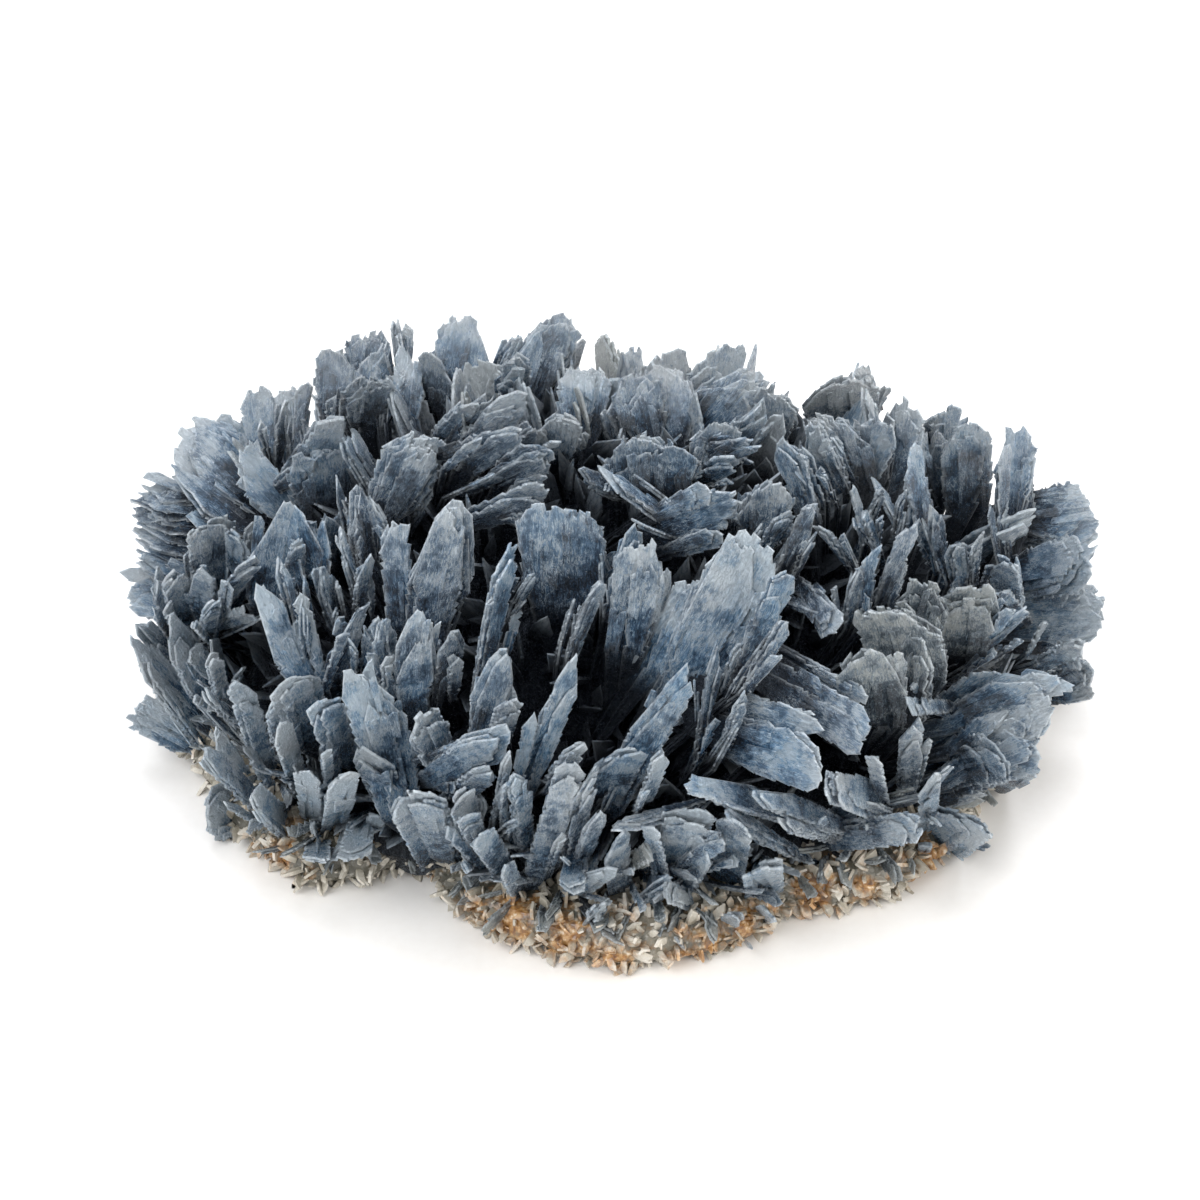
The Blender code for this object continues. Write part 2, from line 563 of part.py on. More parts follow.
def crust_mesh(name, grow, drop):
    """The crust, or with grow and drop the space that is kept clear for it."""
    bm = bmesh.new()
    rim = rim_points()
    rings = []
    for number, (height, inset) in enumerate(CRUST_RINGS):
        resting = number < RESTING_RINGS
        top = number == len(CRUST_RINGS) - 1
        level = height - drop if resting else height + (grow if top else 0)
        ring = [lumpy(point, resting) for point in inset_ring(rim, level, inset - grow)]
        rings.append([bm.verts.new(point) for point in ring])
    count = len(rim)
    for lower, upper in zip(rings, rings[1:]):
        for i in range(count):
            after = (i + 1) % count
            bm.faces.new((lower[i], lower[after], upper[after], upper[i]))
    bm.faces.new(rings[0])
    bm.faces.new(rings[-1])
    bmesh.ops.triangulate(bm, faces=bm.faces)
    bmesh.ops.recalc_face_normals(bm, faces=bm.faces)
    mesh = bpy.data.meshes.new(name)
    bm.to_mesh(mesh)
    bm.free()
    return mesh


def floor_mesh():
    """The space under the blades, down from just above the ground."""
    bm = bmesh.new()
    bmesh.ops.create_cube(bm, size=1.0)
    for vert in bm.verts:
        vert.co = Vector((vert.co.x * 0.3, vert.co.y * 0.3, vert.co.z * 0.05 - 0.025 + FLOOR_CLEARANCE))
    mesh = bpy.data.meshes.new("floor_space")
    bm.to_mesh(mesh)
    bm.free()
    return mesh


def material(name, colour, roughness):
    """A stone's plain finish."""
    made = bpy.data.materials.new(name)
    made.use_nodes = True
    shader = made.node_tree.nodes["Principled BSDF"]
    shader.inputs["Base Color"].default_value = (*colour, 1)
    shader.inputs["Roughness"].default_value = roughness
    shader.inputs["Metallic"].default_value = 0.0
    return made


def add_object(mesh, collection):
    made = bpy.data.objects.new(mesh.name, mesh)
    collection.objects.link(made)
    return made


def as_cutter(made):
    made.hide_render = True
    made.display_type = "WIRE"
    return made


def keep_largest_island(bm):
    """Keep the one body that hangs together, without loose splinters or the skins of sealed pockets."""
    seen = set()
    islands = []
    for start in bm.verts:
        if start in seen:
            continue
        island = []
        waiting = [start]
        seen.add(start)
        while waiting:
            vert = waiting.pop()
            island.append(vert)
            for edge in vert.link_edges:
                other = edge.other_vert(vert)
                if other not in seen:
                    seen.add(other)
                    waiting.append(other)
        islands.append(island)
    islands.sort(key=len)
    loose = [vert for island in islands[:-1] for vert in island]
    bmesh.ops.delete(bm, geom=loose, context="VERTS")


def clear_scene():
    for existing in list(bpy.data.objects):
        bpy.data.objects.remove(existing, do_unlink=True)


def main():
    clear_scene()
    scene = bpy.context.scene
    shapes = bpy.data.collections.new("blade_shapes")
    scene.collection.children.link(shapes)
    for mesh in seen_blades() + rear_blades():
        as_cutter(add_object(mesh, shapes))
    crust_space = as_cutter(add_object(crust_mesh("crust_space", PARTING, 5 * MM), scene.collection))
    floor_space = as_cutter(add_object(floor_mesh(), scene.collection))

    mound = as_cutter(add_object(mound_mesh(), scene.collection))
    union = mound.modifiers.new("blades", "BOOLEAN")
    union.operation = "UNION"
    union.operand_type = "COLLECTION"
    union.collection = shapes
    over_floor = mound.modifiers.new("floor", "BOOLEAN")
    over_floor.operation = "DIFFERENCE"
    over_floor.object = floor_space
    over_floor.solver = "MANIFOLD"
    off_crust = mound.modifiers.new("crust", "BOOLEAN")
    off_crust.operation = "DIFFERENCE"
    off_crust.object = crust_space
    off_crust.solver = "MANIFOLD"
    bpy.context.view_layer.update()
    grown = bpy.data.meshes.new_from_object(mound.evaluated_get(bpy.context.evaluated_depsgraph_get()))
    grown.name = "barite_blades"
    mound.modifiers.clear()

    bm = bmesh.new()
    bm.from_mesh(grown)
    bmesh.ops.triangulate(bm, faces=bm.faces)
    keep_largest_island(bm)
    bm.to_mesh(grown)
    bm.free()
    blades = add_object(grown, scene.collection)
    blades.data.materials.clear()
    blades.data.materials.append(material("blue_barite", (0.15, 0.20, 0.27), 0.35))
    crust = add_object(crust_mesh("matrix_crust", 0.0, 0.0), scene.collection)
    crust.data.materials.append(material("stained_matrix", (0.48, 0.38, 0.26), 0.75))


main()
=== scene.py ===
import math
import random
from collections import namedtuple

import bmesh
import bpy
from mathutils import Matrix, Vector, noise


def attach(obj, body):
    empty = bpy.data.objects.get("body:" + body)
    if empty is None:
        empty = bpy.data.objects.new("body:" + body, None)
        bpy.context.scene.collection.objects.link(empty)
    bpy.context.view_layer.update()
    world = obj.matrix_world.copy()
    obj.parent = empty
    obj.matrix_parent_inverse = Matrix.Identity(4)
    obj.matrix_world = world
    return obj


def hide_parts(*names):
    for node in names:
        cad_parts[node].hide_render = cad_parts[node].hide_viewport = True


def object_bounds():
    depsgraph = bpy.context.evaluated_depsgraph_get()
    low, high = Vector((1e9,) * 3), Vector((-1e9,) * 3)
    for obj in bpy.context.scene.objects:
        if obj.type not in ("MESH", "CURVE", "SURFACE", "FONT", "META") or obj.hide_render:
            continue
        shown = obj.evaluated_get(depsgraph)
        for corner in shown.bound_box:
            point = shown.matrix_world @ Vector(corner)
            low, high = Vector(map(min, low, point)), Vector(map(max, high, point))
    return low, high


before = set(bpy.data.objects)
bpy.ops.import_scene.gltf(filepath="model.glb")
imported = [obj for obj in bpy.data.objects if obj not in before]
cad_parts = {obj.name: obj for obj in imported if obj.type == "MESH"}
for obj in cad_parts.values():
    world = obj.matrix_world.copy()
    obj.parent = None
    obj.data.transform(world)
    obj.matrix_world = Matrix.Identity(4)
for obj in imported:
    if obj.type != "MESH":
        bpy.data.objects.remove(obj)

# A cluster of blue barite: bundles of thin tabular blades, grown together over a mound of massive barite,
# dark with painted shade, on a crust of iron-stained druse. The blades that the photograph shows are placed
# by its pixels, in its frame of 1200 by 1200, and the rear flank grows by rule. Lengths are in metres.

CAD_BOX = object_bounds()
MM = 0.001

# Size of the cluster, as in its solid model
HALF_WIDTH = 60 * MM
REACH_FRONT = 50 * MM
REACH_BACK = 34 * MM
CROWN_RISE = 31 * MM
FLANK_DROP = 55 * MM
HEART = Vector((0, 9 * MM, 16 * MM))
CRUST_TOP = 5.0 * MM

# Levels run from 0 at the heart to 1 at the surface that the tips reach. Above LIT_LEVEL a blade is in
# full light, and below DARK_LEVEL it is in the dark between the blades
TIP_LEVEL = 1.0
FOOT_LEVEL = 0.78
ROOT_LEVEL = 0.62
ROOT_FRONT_LEVEL = 0.90
ROOT_REAR_LEVEL = 0.74
BURIED = 3 * MM
LONGEST_BURIAL = 26 * MM
LIT_LEVEL = 0.87
DARK_LEVEL = 0.66

# Thickness of a blade, by its width
THINNEST = 0.8 * MM
THICKNESS_PER_WIDTH = 0.085

# The photograph: taken from the front and above
PHOTO_MIDDLE = 600
PHOTO_SIZE = 1200
VIEW_ELEVATION = math.radians(40)
VIEW_DISTANCE = 500 * MM
FOCAL_PIXELS = 4200
SENSOR = 36.0
AIM = Vector((-2 * MM, 0, 22.5 * MM))
VIEW_AHEAD = Vector((0, math.cos(VIEW_ELEVATION), -math.sin(VIEW_ELEVATION)))
VIEW_UP = Vector((0, math.sin(VIEW_ELEVATION), math.cos(VIEW_ELEVATION)))
VIEWPOINT = AIM - VIEW_DISTANCE * VIEW_AHEAD

# A blade as the photograph shows it. tip and foot are pixels of the photograph, at the blade's free end
# and where it goes out of sight between its neighbours. width is in millimetres. turn is how far the
# flat face is turned from the viewer, in degrees, to the right of a blade that points up. near brings
# the blade towards the viewer, in millimetres. end is the shape of its free end.
Blade = namedtuple("Blade", "tip foot width turn near end")

SEEN_BLADES = [
    # The fan at the left, from the top down
    Blade((178, 428), (258, 498), 11.0, 8, 0, "fan"),
    Blade((222, 409), (263, 492), 8.0, -20, -2, "fan"),
    Blade((255, 385), (266, 482), 4.4, 15, 0, "chisel"),
    Blade((285, 384), (280, 470), 4.2, -25, -1, "chisel"),
    Blade((284, 402), (278, 455), 2.4, 50, 1.5, "chisel"),
    Blade((307, 379), (294, 462), 3.2, 35, 0, "chisel"),
    Blade((168, 466), (240, 528), 5.0, 50, 2, "point"),
    Blade((136, 480), (210, 508), 5.0, 35, 0, "point"),
    Blade((127, 500), (195, 510), 4.5, 40, 1, "point"),
    Blade((125, 514), (195, 522), 4.5, 30, 0, "point"),
    Blade((129, 528), (196, 545), 4.5, 40, 0, "point"),
    Blade((131, 543), (192, 568), 4.0, 55, -1, "point"),
    Blade((134, 560), (188, 578), 3.5, 45, -2, "point"),
    # In front of the fan
    Blade((208, 516), (214, 604), 6.6, 18, 3, "fan"),
    Blade((238, 532), (236, 600), 4.0, -40, -1, "fan"),
    Blade((340, 418), (284, 494), 4.6, 30, 0, "chisel"),
    Blade((341, 346), (338, 418), 6.2, 10, 0, "fan"),
    Blade((318, 446), (330, 506), 8.6, 10, -6, "fan"),
    Blade((344, 440), (346, 500), 7.0, -15, -8, "fan"),
    Blade((370, 326), (358, 395), 5.5, -10, -3, "fan"),
    Blade((370, 374), (362, 428), 7.0, 15, 2, "fan"),
    Blade((391, 337), (378, 398), 3.6, 30, -1, "point"),
    Blade((397, 317), (400, 372), 2.2, 75, 0, "chisel"),
    Blade((405, 321), (404, 370), 2.6, 40, -2, "chisel"),
    Blade((281, 494), (266, 602), 6.2, 12, 3, "point"),
    Blade((294, 499), (318, 585), 4.6, -35, 1, "point"),
    Blade((340, 474), (352, 545), 2.0, 50, 0, "point"),
    Blade((356, 477), (374, 565), 4.2, 20, 1, "point"),
    Blade((374, 492), (388, 562), 2.6, -45, 0, "point"),
    Blade((328, 508), (338, 565), 3.0, 25, -3, "point"),
    Blade((337, 523), (360, 592), 2.0, 55, 1, "point"),
    Blade((367, 554), (358, 610), 2.4, 40, 0, "point"),
    Blade((280, 555), (306, 662), 2.8, 45, 3, "point"),
    Blade((304, 538), (284, 585), 2.4, 40, 1, "point"),
    Blade((256, 560), (204, 622), 2.6, 50, 2, "point"),
    Blade((232, 578), (221, 625), 2.2, -45, 1, "point"),
    # The left flank
    Blade((116, 592), (172, 604), 5.2, 15, -1, "fan"),
    Blade((150, 568), (172, 626), 3.0, 35, 2, "point"),
    Blade((172, 568), (182, 625), 3.6, 15, 1, "chisel"),
    Blade((199, 560), (206, 624), 3.8, -30, 3, "point"),
    Blade((212, 598), (206, 640), 2.4, 30, 3, "point"),
    Blade((134, 622), (170, 650), 3.0, 30, -1, "point"),
    Blade((127, 632), (200, 722), 4.2, 40, 1, "point"),
    Blade((163, 612), (208, 700), 4.6, 35, 1, "point"),
    Blade((138, 657), (202, 744), 3.4, 55, 0, "point"),
    Blade((134, 700), (198, 738), 6.4, 20, 0, "fan"),
    Blade((214, 655), (224, 712), 2.4, 35, 2, "point"),
    Blade((207, 692), (244, 732), 1.8, 70, 2, "chisel"),
    Blade((237, 677), (272, 792), 3.4, 15, 4, "point"),
    Blade((254, 581), (306, 688), 4.2, 20, 4, "point"),
    Blade((288, 672), (308, 742), 6.4, 15, 3, "fan"),
    Blade((324, 700), (342, 762), 4.6, 25, 4, "chisel"),
    Blade((279, 722), (308, 815), 3.2, 30, 4, "point"),
    Blade((363, 656), (402, 812), 6.8, 8, 5, "point"),
    Blade((382, 608), (388, 682), 3.2, 30, 3, "point"),
    Blade((374, 618), (368, 680), 3.0, -35, 1, "point"),
    Blade((354, 598), (330, 688), 3.6, 35, 2, "point"),
    Blade((318, 560), (334, 622), 3.2, 55, 0, "point"),
    Blade((304, 600), (314, 680), 2.2, 50, 1, "point"),
    Blade((204, 748), (292, 836), 3.6, 45, 3, "point"),
    Blade((246, 790), (304, 838), 3.4, 40, 4, "point"),
    Blade((250, 806), (306, 852), 2.4, 60, 4, "point"),
    Blade((202, 800), (258, 836), 6.2, 15, 0, "fan"),
    Blade((212, 824), (272, 858), 4.0, 40, 0, "point"),
    Blade((326, 750), (330, 800), 1.6, 30, 4, "chisel"),
    Blade((344, 768), (330, 852), 3.8, 25, 4, "point"),
    Blade((306, 770), (318, 850), 3.6, -35, 1, "point"),
    Blade((366, 748), (392, 808), 4.8, -30, 1, "point"),
    Blade((316, 867), (322, 820), 3.4, 15, 3, "chisel"),
    Blade((352, 864), (362, 812), 4.2, 20, 1, "fan"),
    # The crown, from the left to the middle
    Blade((470, 313), (456, 392), 7.6, 8, 0, "chisel"),
    Blade((567, 306), (534, 392), 7.8, 8, 0, "point"),
    Blade((549, 312), (522, 388), 4.6, 30, 1, "point"),
    Blade((517, 334), (502, 372), 3.2, 50, -1, "point"),
    Blade((411, 343), (404, 424), 4.2, 15, 1, "point"),
    Blade((437, 350), (438, 405), 4.8, -20, 0, "fan"),
    Blade((516, 358), (514, 402), 4.0, 15, 2, "fan"),
    Blade((476, 402), (438, 436), 3.0, 35, 2, "point"),
    Blade((492, 397), (460, 442), 3.0, 30, 1, "point"),
    Blade((534, 396), (468, 448), 5.2, 30, 2, "chisel"),
    Blade((428, 430), (386, 512), 7.6, 12, 1, "fan"),
    Blade((519, 430), (456, 472), 4.8, 35, 3, "fan"),
    Blade((543, 430), (500, 458), 2.6, 50, 1, "point"),
    Blade((546, 446), (498, 480), 4.4, 30, 3, "fan"),
    Blade((555, 450), (462, 494), 3.6, 58, 3, "point"),
    Blade((586, 360), (580, 432), 6.6, 15, 0, "fan"),
    Blade((566, 410), (558, 455), 5.2, -15, 0, "fan"),
    Blade((630, 370), (642, 432), 7.4, 10, 0, "chisel"),
    Blade((672, 362), (668, 434), 7.0, -12, -1, "point"),
    Blade((645, 432), (650, 486), 12.0, 0, 2, "fan"),
    Blade((596, 471), (676, 524), 3.4, 62, 3, "chisel"),
    Blade((578, 468), (612, 492), 2.6, 50, 1, "point"),
    Blade((744, 498), (664, 530), 5.4, 25, 3, "chisel"),
    Blade((765, 476), (762, 540), 7.2, 12, -1, "fan"),
    Blade((549, 490), (464, 524), 4.2, 50, 1, "fan"),
    # The middle
    Blade((560, 498), (562, 600), 10.4, 5, 2, "fan"),
    Blade((458, 495), (432, 636), 7.6, 10, 4, "point"),
    Blade((510, 541), (481, 688), 3.4, 50, 4, "chisel"),
    Blade((536, 566), (512, 612), 1.8, 60, 1, "point"),
    Blade((638, 516), (618, 610), 4.4, 45, 1, "point"),
    Blade((646, 537), (628, 646), 6.6, 12, 4, "chisel"),
    Blade((597, 576), (570, 656), 3.0, 55, 3, "chisel"),
    Blade((580, 650), (526, 790), 3.8, 40, 5, "point"),
    Blade((503, 645), (484, 738), 5.2, 20, 4, "point"),
    Blade((512, 700), (494, 748), 3.4, 30, 3, "chisel"),
    Blade((513, 729), (432, 780), 5.2, 18, 5, "point"),
    Blade((497, 764), (450, 798), 3.4, 40, 4, "point"),
    Blade((510, 750), (494, 832), 2.2, 55, 4, "point"),
    Blade((424, 610), (414, 706), 5.4, 15, 3, "point"),
    Blade((455, 625), (442, 692), 3.8, 40, 0, "point"),
    Blade((424, 716), (444, 766), 5.0, 25, 1, "fan"),
    Blade((762, 534), (680, 688), 8.6, 15, 5, "chisel"),
    Blade((790, 567), (730, 700), 4.0, 32, 6, "chisel"),
    Blade((791, 622), (738, 698), 2.2, 40, 7, "chisel"),
    Blade((834, 630), (802, 590), 3.6, 25, 2, "fan"),
    Blade((690, 662), (612, 806), 5.0, 25, 6, "point"),
    Blade((665, 752), (642, 804), 2.4, 45, 6, "point"),
    Blade((720, 640), (698, 758), 2.2, 55, 2, "point"),
    Blade((745, 690), (722, 756), 2.2, 50, 5, "point"),
    Blade((606, 832), (702, 804), 2.6, 50, 6, "point"),
    Blade((626, 742), (600, 804), 5.2, 25, 2, "fan"),
    # The crown, from the middle to the right
    Blade((756, 370), (714, 424), 6.0, 15, 1, "chisel"),
    Blade((778, 386), (772, 436), 5.6, -15, 0, "fan"),
    Blade((720, 415), (716, 466), 5.6, 20, 1, "fan"),
    Blade((766, 404), (736, 446), 4.0, 35, 0, "point"),
    Blade((757, 432), (702, 462), 4.2, 40, 2, "point"),
    Blade((734, 462), (700, 478), 3.2, 50, 1, "fan"),
    Blade((780, 437), (808, 512), 3.2, -30, 5, "chisel"),
    Blade((793, 447), (822, 506), 3.2, -40, 4, "chisel"),
    Blade((800, 424), (838, 484), 4.6, -30, 2, "chisel"),
    Blade((832, 408), (850, 476), 7.0, -15, 0, "fan"),
    Blade((840, 374), (846, 426), 9.5, 10, -1, "fan"),
    Blade((870, 371), (866, 425), 3.6, 40, 0, "point"),
    Blade((866, 385), (884, 476), 2.4, 60, 3, "chisel"),
    Blade((905, 396), (902, 470), 5.2, -20, 1, "fan"),
    Blade((911, 446), (922, 535), 4.0, 45, 4, "chisel"),
    Blade((943, 405), (942, 480), 5.0, 20, 0, "fan"),
    Blade((966, 418), (968, 508), 6.2, 8, 3, "fan"),
    Blade((1002, 442), (998, 560), 3.0, 60, 4, "chisel"),
    Blade((1012, 425), (1012, 505), 5.0, -20, 1, "fan"),
    Blade((851, 480), (864, 548), 1.8, 55, 2, "point"),
    Blade((863, 510), (880, 560), 1.6, 55, 3, "chisel"),
    Blade((869, 543), (862, 622), 2.4, 30, 4, "chisel"),
    Blade((915, 519), (880, 600), 2.8, 40, 4, "chisel"),
    Blade((884, 488), (868, 526), 1.4, 60, 2, "chisel"),
    Blade((901, 490), (894, 542), 1.4, 55, 2, "chisel"),
    Blade((934, 505), (944, 575), 2.6, 40, 1, "point"),
    Blade((956, 545), (962, 595), 3.0, 30, -2, "chisel"),
    Blade((976, 535), (974, 585), 2.2, 50, 1, "chisel"),
    Blade((857, 564), (846, 625), 1.8, 50, 3, "point"),
    Blade((820, 520), (858, 578), 2.0, -55, 1, "chisel"),
    Blade((814, 503), (780, 572), 3.0, 40, 4, "chisel"),
    Blade((790, 512), (762, 552), 2.6, 40, 3, "chisel"),
    # The right flank
    Blade((1110, 512), (1034, 522), 8.6, 8, -1, "fan"),
    Blade((1121, 550), (1064, 568), 3.2, -45, -1, "point"),
    Blade((1086, 560), (1020, 580), 7.0, -10, 2, "fan"),
    Blade((1109, 605), (1034, 618), 8.2, 6, 0, "fan"),
    Blade((1003, 552), (1012, 612), 3.8, -25, 3, "point"),
    Blade((1010, 604), (980, 655), 2.2, 50, 4, "chisel"),
    Blade((1030, 600), (964, 672), 2.8, 55, 2, "point"),
    Blade((936, 577), (914, 642), 5.8, 12, 3, "chisel"),
    Blade((974, 582), (962, 648), 7.0, 5, 4, "chisel"),
    Blade((888, 600), (912, 690), 9.4, -8, 5, "chisel"),
    Blade((868, 645), (876, 728), 8.0, 5, 6, "chisel"),
    Blade((874, 738), (786, 684), 6.0, 25, 5, "fan"),
    Blade((827, 768), (738, 742), 6.8, 22, 6, "fan"),
    Blade((913, 721), (906, 800), 3.0, 20, 6, "point"),
    Blade((872, 758), (884, 802), 2.2, -35, 7, "chisel"),
    Blade((826, 786), (882, 796), 4.0, 20, 6, "fan"),
    Blade((837, 797), (888, 818), 2.6, 35, 7, "point"),
    Blade((1050, 694), (932, 752), 9.0, 5, 4, "fan"),
    Blade((1066, 668), (944, 724), 5.4, 8, 5, "chisel"),
    Blade((1056, 704), (934, 758), 5.8, 2, 5.5, "chisel"),
    Blade((1036, 746), (924, 788), 6.0, 6, 5, "fan"),
    Blade((1000, 762), (936, 776), 6.0, 20, 3, "fan"),
    Blade((1096, 664), (1056, 684), 4.0, 15, 0, "fan"),
    Blade((1086, 641), (1038, 668), 3.2, 40, 2, "point"),
    Blade((1029, 762), (996, 788), 3.6, 25, 2, "point"),
    Blade((945, 762), (922, 804), 1.4, 60, 6, "point"),
    Blade((974, 812), (922, 862), 7.0, 10, 3, "fan"),
    Blade((924, 826), (832, 838), 4.4, 30, 6, "fan"),
    Blade((910, 706), (948, 706), 2.4, 20, 4, "fan"),
    Blade((930, 775), (926, 852), 3.0, 30, 5, "point"),
    # The front flank
    Blade((671, 778), (800, 818), 4.0, 35, 7, "point"),
    Blade((747, 790), (852, 828), 3.6, 35, 7, "point"),
    Blade((720, 815), (806, 858), 2.6, 50, 6, "point"),
    Blade((780, 824), (838, 838), 2.0, 40, 7, "chisel"),
    Blade((574, 764), (532, 888), 3.8, 22, 7, "chisel"),
    Blade((583, 742), (552, 782), 2.6, 45, 6, "point"),
    Blade((592, 771), (568, 862), 2.8, 45, 5, "point"),
    Blade((603, 808), (576, 868), 2.6, 50, 5, "point"),
    Blade((570, 894), (580, 850), 3.2, 20, 5, "fan"),
    Blade((612, 868), (544, 914), 3.0, 35, 6, "point"),
    Blade((617, 835), (622, 906), 3.6, 25, 3, "point"),
    Blade((588, 906), (602, 954), 4.0, 12, 4, "point"),
    Blade((650, 826), (671, 912), 2.4, -35, 7, "chisel"),
    Blade((728, 834), (672, 872), 3.0, 25, 6, "point"),
    Blade((692, 816), (652, 884), 6.0, 15, 1, "fan"),
    Blade((736, 822), (726, 900), 4.6, -20, 4, "fan"),
    Blade((762, 864), (766, 924), 4.8, 10, 3, "fan"),
    Blade((670, 890), (716, 912), 3.0, 30, 4, "fan"),
    Blade((664, 878), (620, 942), 2.6, 35, 5, "point"),
    Blade((626, 955), (696, 922), 2.0, 50, 5, "point"),
    Blade((742, 912), (696, 936), 2.4, 35, 5, "point"),
    Blade((424, 788), (446, 856), 4.2, -20, 4, "chisel"),
    Blade((455, 790), (472, 834), 3.8, 20, 3, "chisel"),
    Blade((466, 812), (480, 852), 3.0, 10, 5, "chisel"),
    Blade((480, 832), (506, 874), 3.4, 15, 5, "chisel"),
    Blade((516, 818), (500, 835), 1.4, 60, 6, "point"),
    Blade((517, 770), (524, 848), 3.0, 35, 4, "point"),
    Blade((500, 860), (530, 920), 2.6, 30, 4, "point"),
    Blade((404, 800), (432, 862), 4.6, 15, 2, "fan"),
]

# The sides of a blade from its buried end up: half-width as a share of the width, and place along it
BURIED_END = None
SIDES = [(0.10, BURIED_END), (0.13, -0.42), (0.34, -0.10), (0.46, 0.28)]

# The free end: the place of its tip across the blade, then the slopes of its edge, in degrees, from the
# left side to the tip and from the tip to the right side. The outer part of the edge falls off more steeply
END_CUTS = {
    "chisel": (0.24, 58, 20, 50, 70),
    "fan": (0.04, 58, 22, 28, 62),
    "point": (0.08, 76, 66, 54, 74),
}
MOST_CUT = 0.62

# How far chance moves the tip of a bundle's end, its slopes, the tip of one lamina, and a corner
TIP_PLAY = 0.14
SLOPE_PLAY = 9
LAMINA_PLAY = 0.24
CORNER_PLAY = 0.06

# Tips stay this far inside the size of the solid model
BOX_MARGIN = 1.2 * MM

# Stalks: the ends of the blades that go in below the foot. They bend inwards and stay off the ground, and
# no tip is lower than LOWEST_TIP
LONGEST_STALK = 13 * MM
STALK_BEND = 26 * MM
STALK_SWAY = 7 * MM
STALK_GROUND = 2.5 * MM
NEAR_GROUND = 4 * MM
LOWEST_TIP = 3.2 * MM

# How a bundle is made of laminae, and a lamina of laths: teeth up its sides, steps across its free end
LAMINA_PITCH = 0.36 * MM
MOST_LAMINAE = 5
TOOTH_LENGTHS = (0.7 * MM, 2.8 * MM)
TOOTH_BITE = 0.50 * MM
LATH_WIDTHS = (0.25 * MM, 1.30 * MM)
END_STEPS = 1.05 * MM
EDGE_INSET = 0.16 * MM
RIM_BAND = 0.6 * MM
SCALE_WIDTHS = (0.40 * MM, 1.8 * MM)
SCALE_LENGTHS = (1.4 * MM, 6.0 * MM)
SCALE_HEIGHTS = (0.06 * MM, 0.16 * MM)
SCALES_PER_MM = 0.6

# Companions: narrower blades that grow beside a blade, a little off its direction
COMPANIONS = 2
WIDE_BLADE = 6.0 * MM
SHORT_BLADE = 6.5 * MM
COMPANION_WIDTHS = (0.35, 0.65)
COMPANION_LENGTHS = (0.45, 0.85)
COMPANION_LEAN = 0.24

# The rear flank, which grows by rule
REAR_SEED = 11
REAR_RINGS = [(-15, 14), (1, 14), (18, 14), (35, 12), (53, 9), (72, 5)]
REAR_FROM = math.radians(-6)
REAR_TO = math.radians(186)
REAR_WIDTHS = (5.0, 9.5)
REAR_LENGTHS = (0.62, 0.74)
REAR_LEVELS = (0.94, 1.02)
ROOT_OF_THE_FAN = Vector((0, 4 * MM, 6 * MM))

# The skirt: rows of small blades that hide the crust but for its edge. A row's roots lie so far inside
# the rim and so high, and its blades rise so steeply, in degrees. A row's tints run from its own up to 1
SKIRT_SEED = 23
SKIRT_SPACING = 2.7 * MM
SKIRT_ROWS = [(4.4 * MM, 4.4 * MM, 4), (5.6 * MM, 6.5 * MM, 26), (7.5 * MM, 9.0 * MM, 46)]
SKIRT_TINTS = [0.90, 0.50, 0.10]
SKIRT_LENGTHS = (4.0 * MM, 8.0 * MM)
SKIRT_WIDTHS = (1.0 * MM, 2.6 * MM)

# The mound between the blades, dark with painted shade, and the small crystals that line it
MOUND_LEVEL = 0.60
MOUND_FRONT_LEVEL = 0.82
MOUND_REAR_LEVEL = 0.70
MOUND_RINGS = 34
MOUND_SIDES = 96


def reach_towards(offset):
    """Half-widths of the cluster on the side of its heart that an offset lies on."""
    return Vector((
        HALF_WIDTH,
        REACH_BACK if offset.y > 0 else REACH_FRONT,
        CROWN_RISE if offset.z > 0 else FLANK_DROP,
    ))


def level_at(point):
    """0 at the heart of the cluster, 1 on the surface that the blades' tips reach."""
    offset = point - HEART
    reach = reach_towards(offset)
    return Vector((offset.x / reach.x, offset.y / reach.y, offset.z / reach.z)).length


def depth_at(point):
    """How deep a point lies between the blades: 0 near the tips, 1 where hardly any light comes."""
    share = (LIT_LEVEL - level_at(point)) / (LIT_LEVEL - DARK_LEVEL)
    return min(max(share, 0.0), 1.0)


def flared(height, rearward, top, front, rear):
    """A level that rises from its value at the crown to its values at the foot, front and rear."""
    share = (HEART.z - height) / (HEART.z - CRUST_TOP)
    flare = min(max(share, 0.0), 1.0)
    base = front + min(max(rearward, 0.0), 1.0) * (rear - front)
    return top + flare * (base - top)


def sight_line(pixel):
    """Unit direction from the viewpoint through a pixel of the photograph."""
    across = (pixel[0] - PHOTO_MIDDLE) / FOCAL_PIXELS
    up = (PHOTO_MIDDLE - pixel[1]) / FOCAL_PIXELS
    return (VIEW_AHEAD + Vector((across, 0, 0)) + up * VIEW_UP).normalized()


def on_level(pixel, level):
    """Where the sight line of a pixel meets a level, or passes nearest to it."""
    line = sight_line(pixel)
    nearest = None
    step = 0.4 * MM
    distance = VIEW_DISTANCE - 110 * MM
    while distance < VIEW_DISTANCE + 110 * MM:
        point = VIEWPOINT + distance * line
        found = level_at(point)
        if found <= level:
            return point
        if nearest is None or found < nearest[0]:
            nearest = (found, point)
        distance += step
    return nearest[1]


def on_height(pixel, height):
    """Where the sight line of a pixel meets a level plane."""
    line = sight_line(pixel)
    return VIEWPOINT + (height - VIEWPOINT.z) / line.z * line


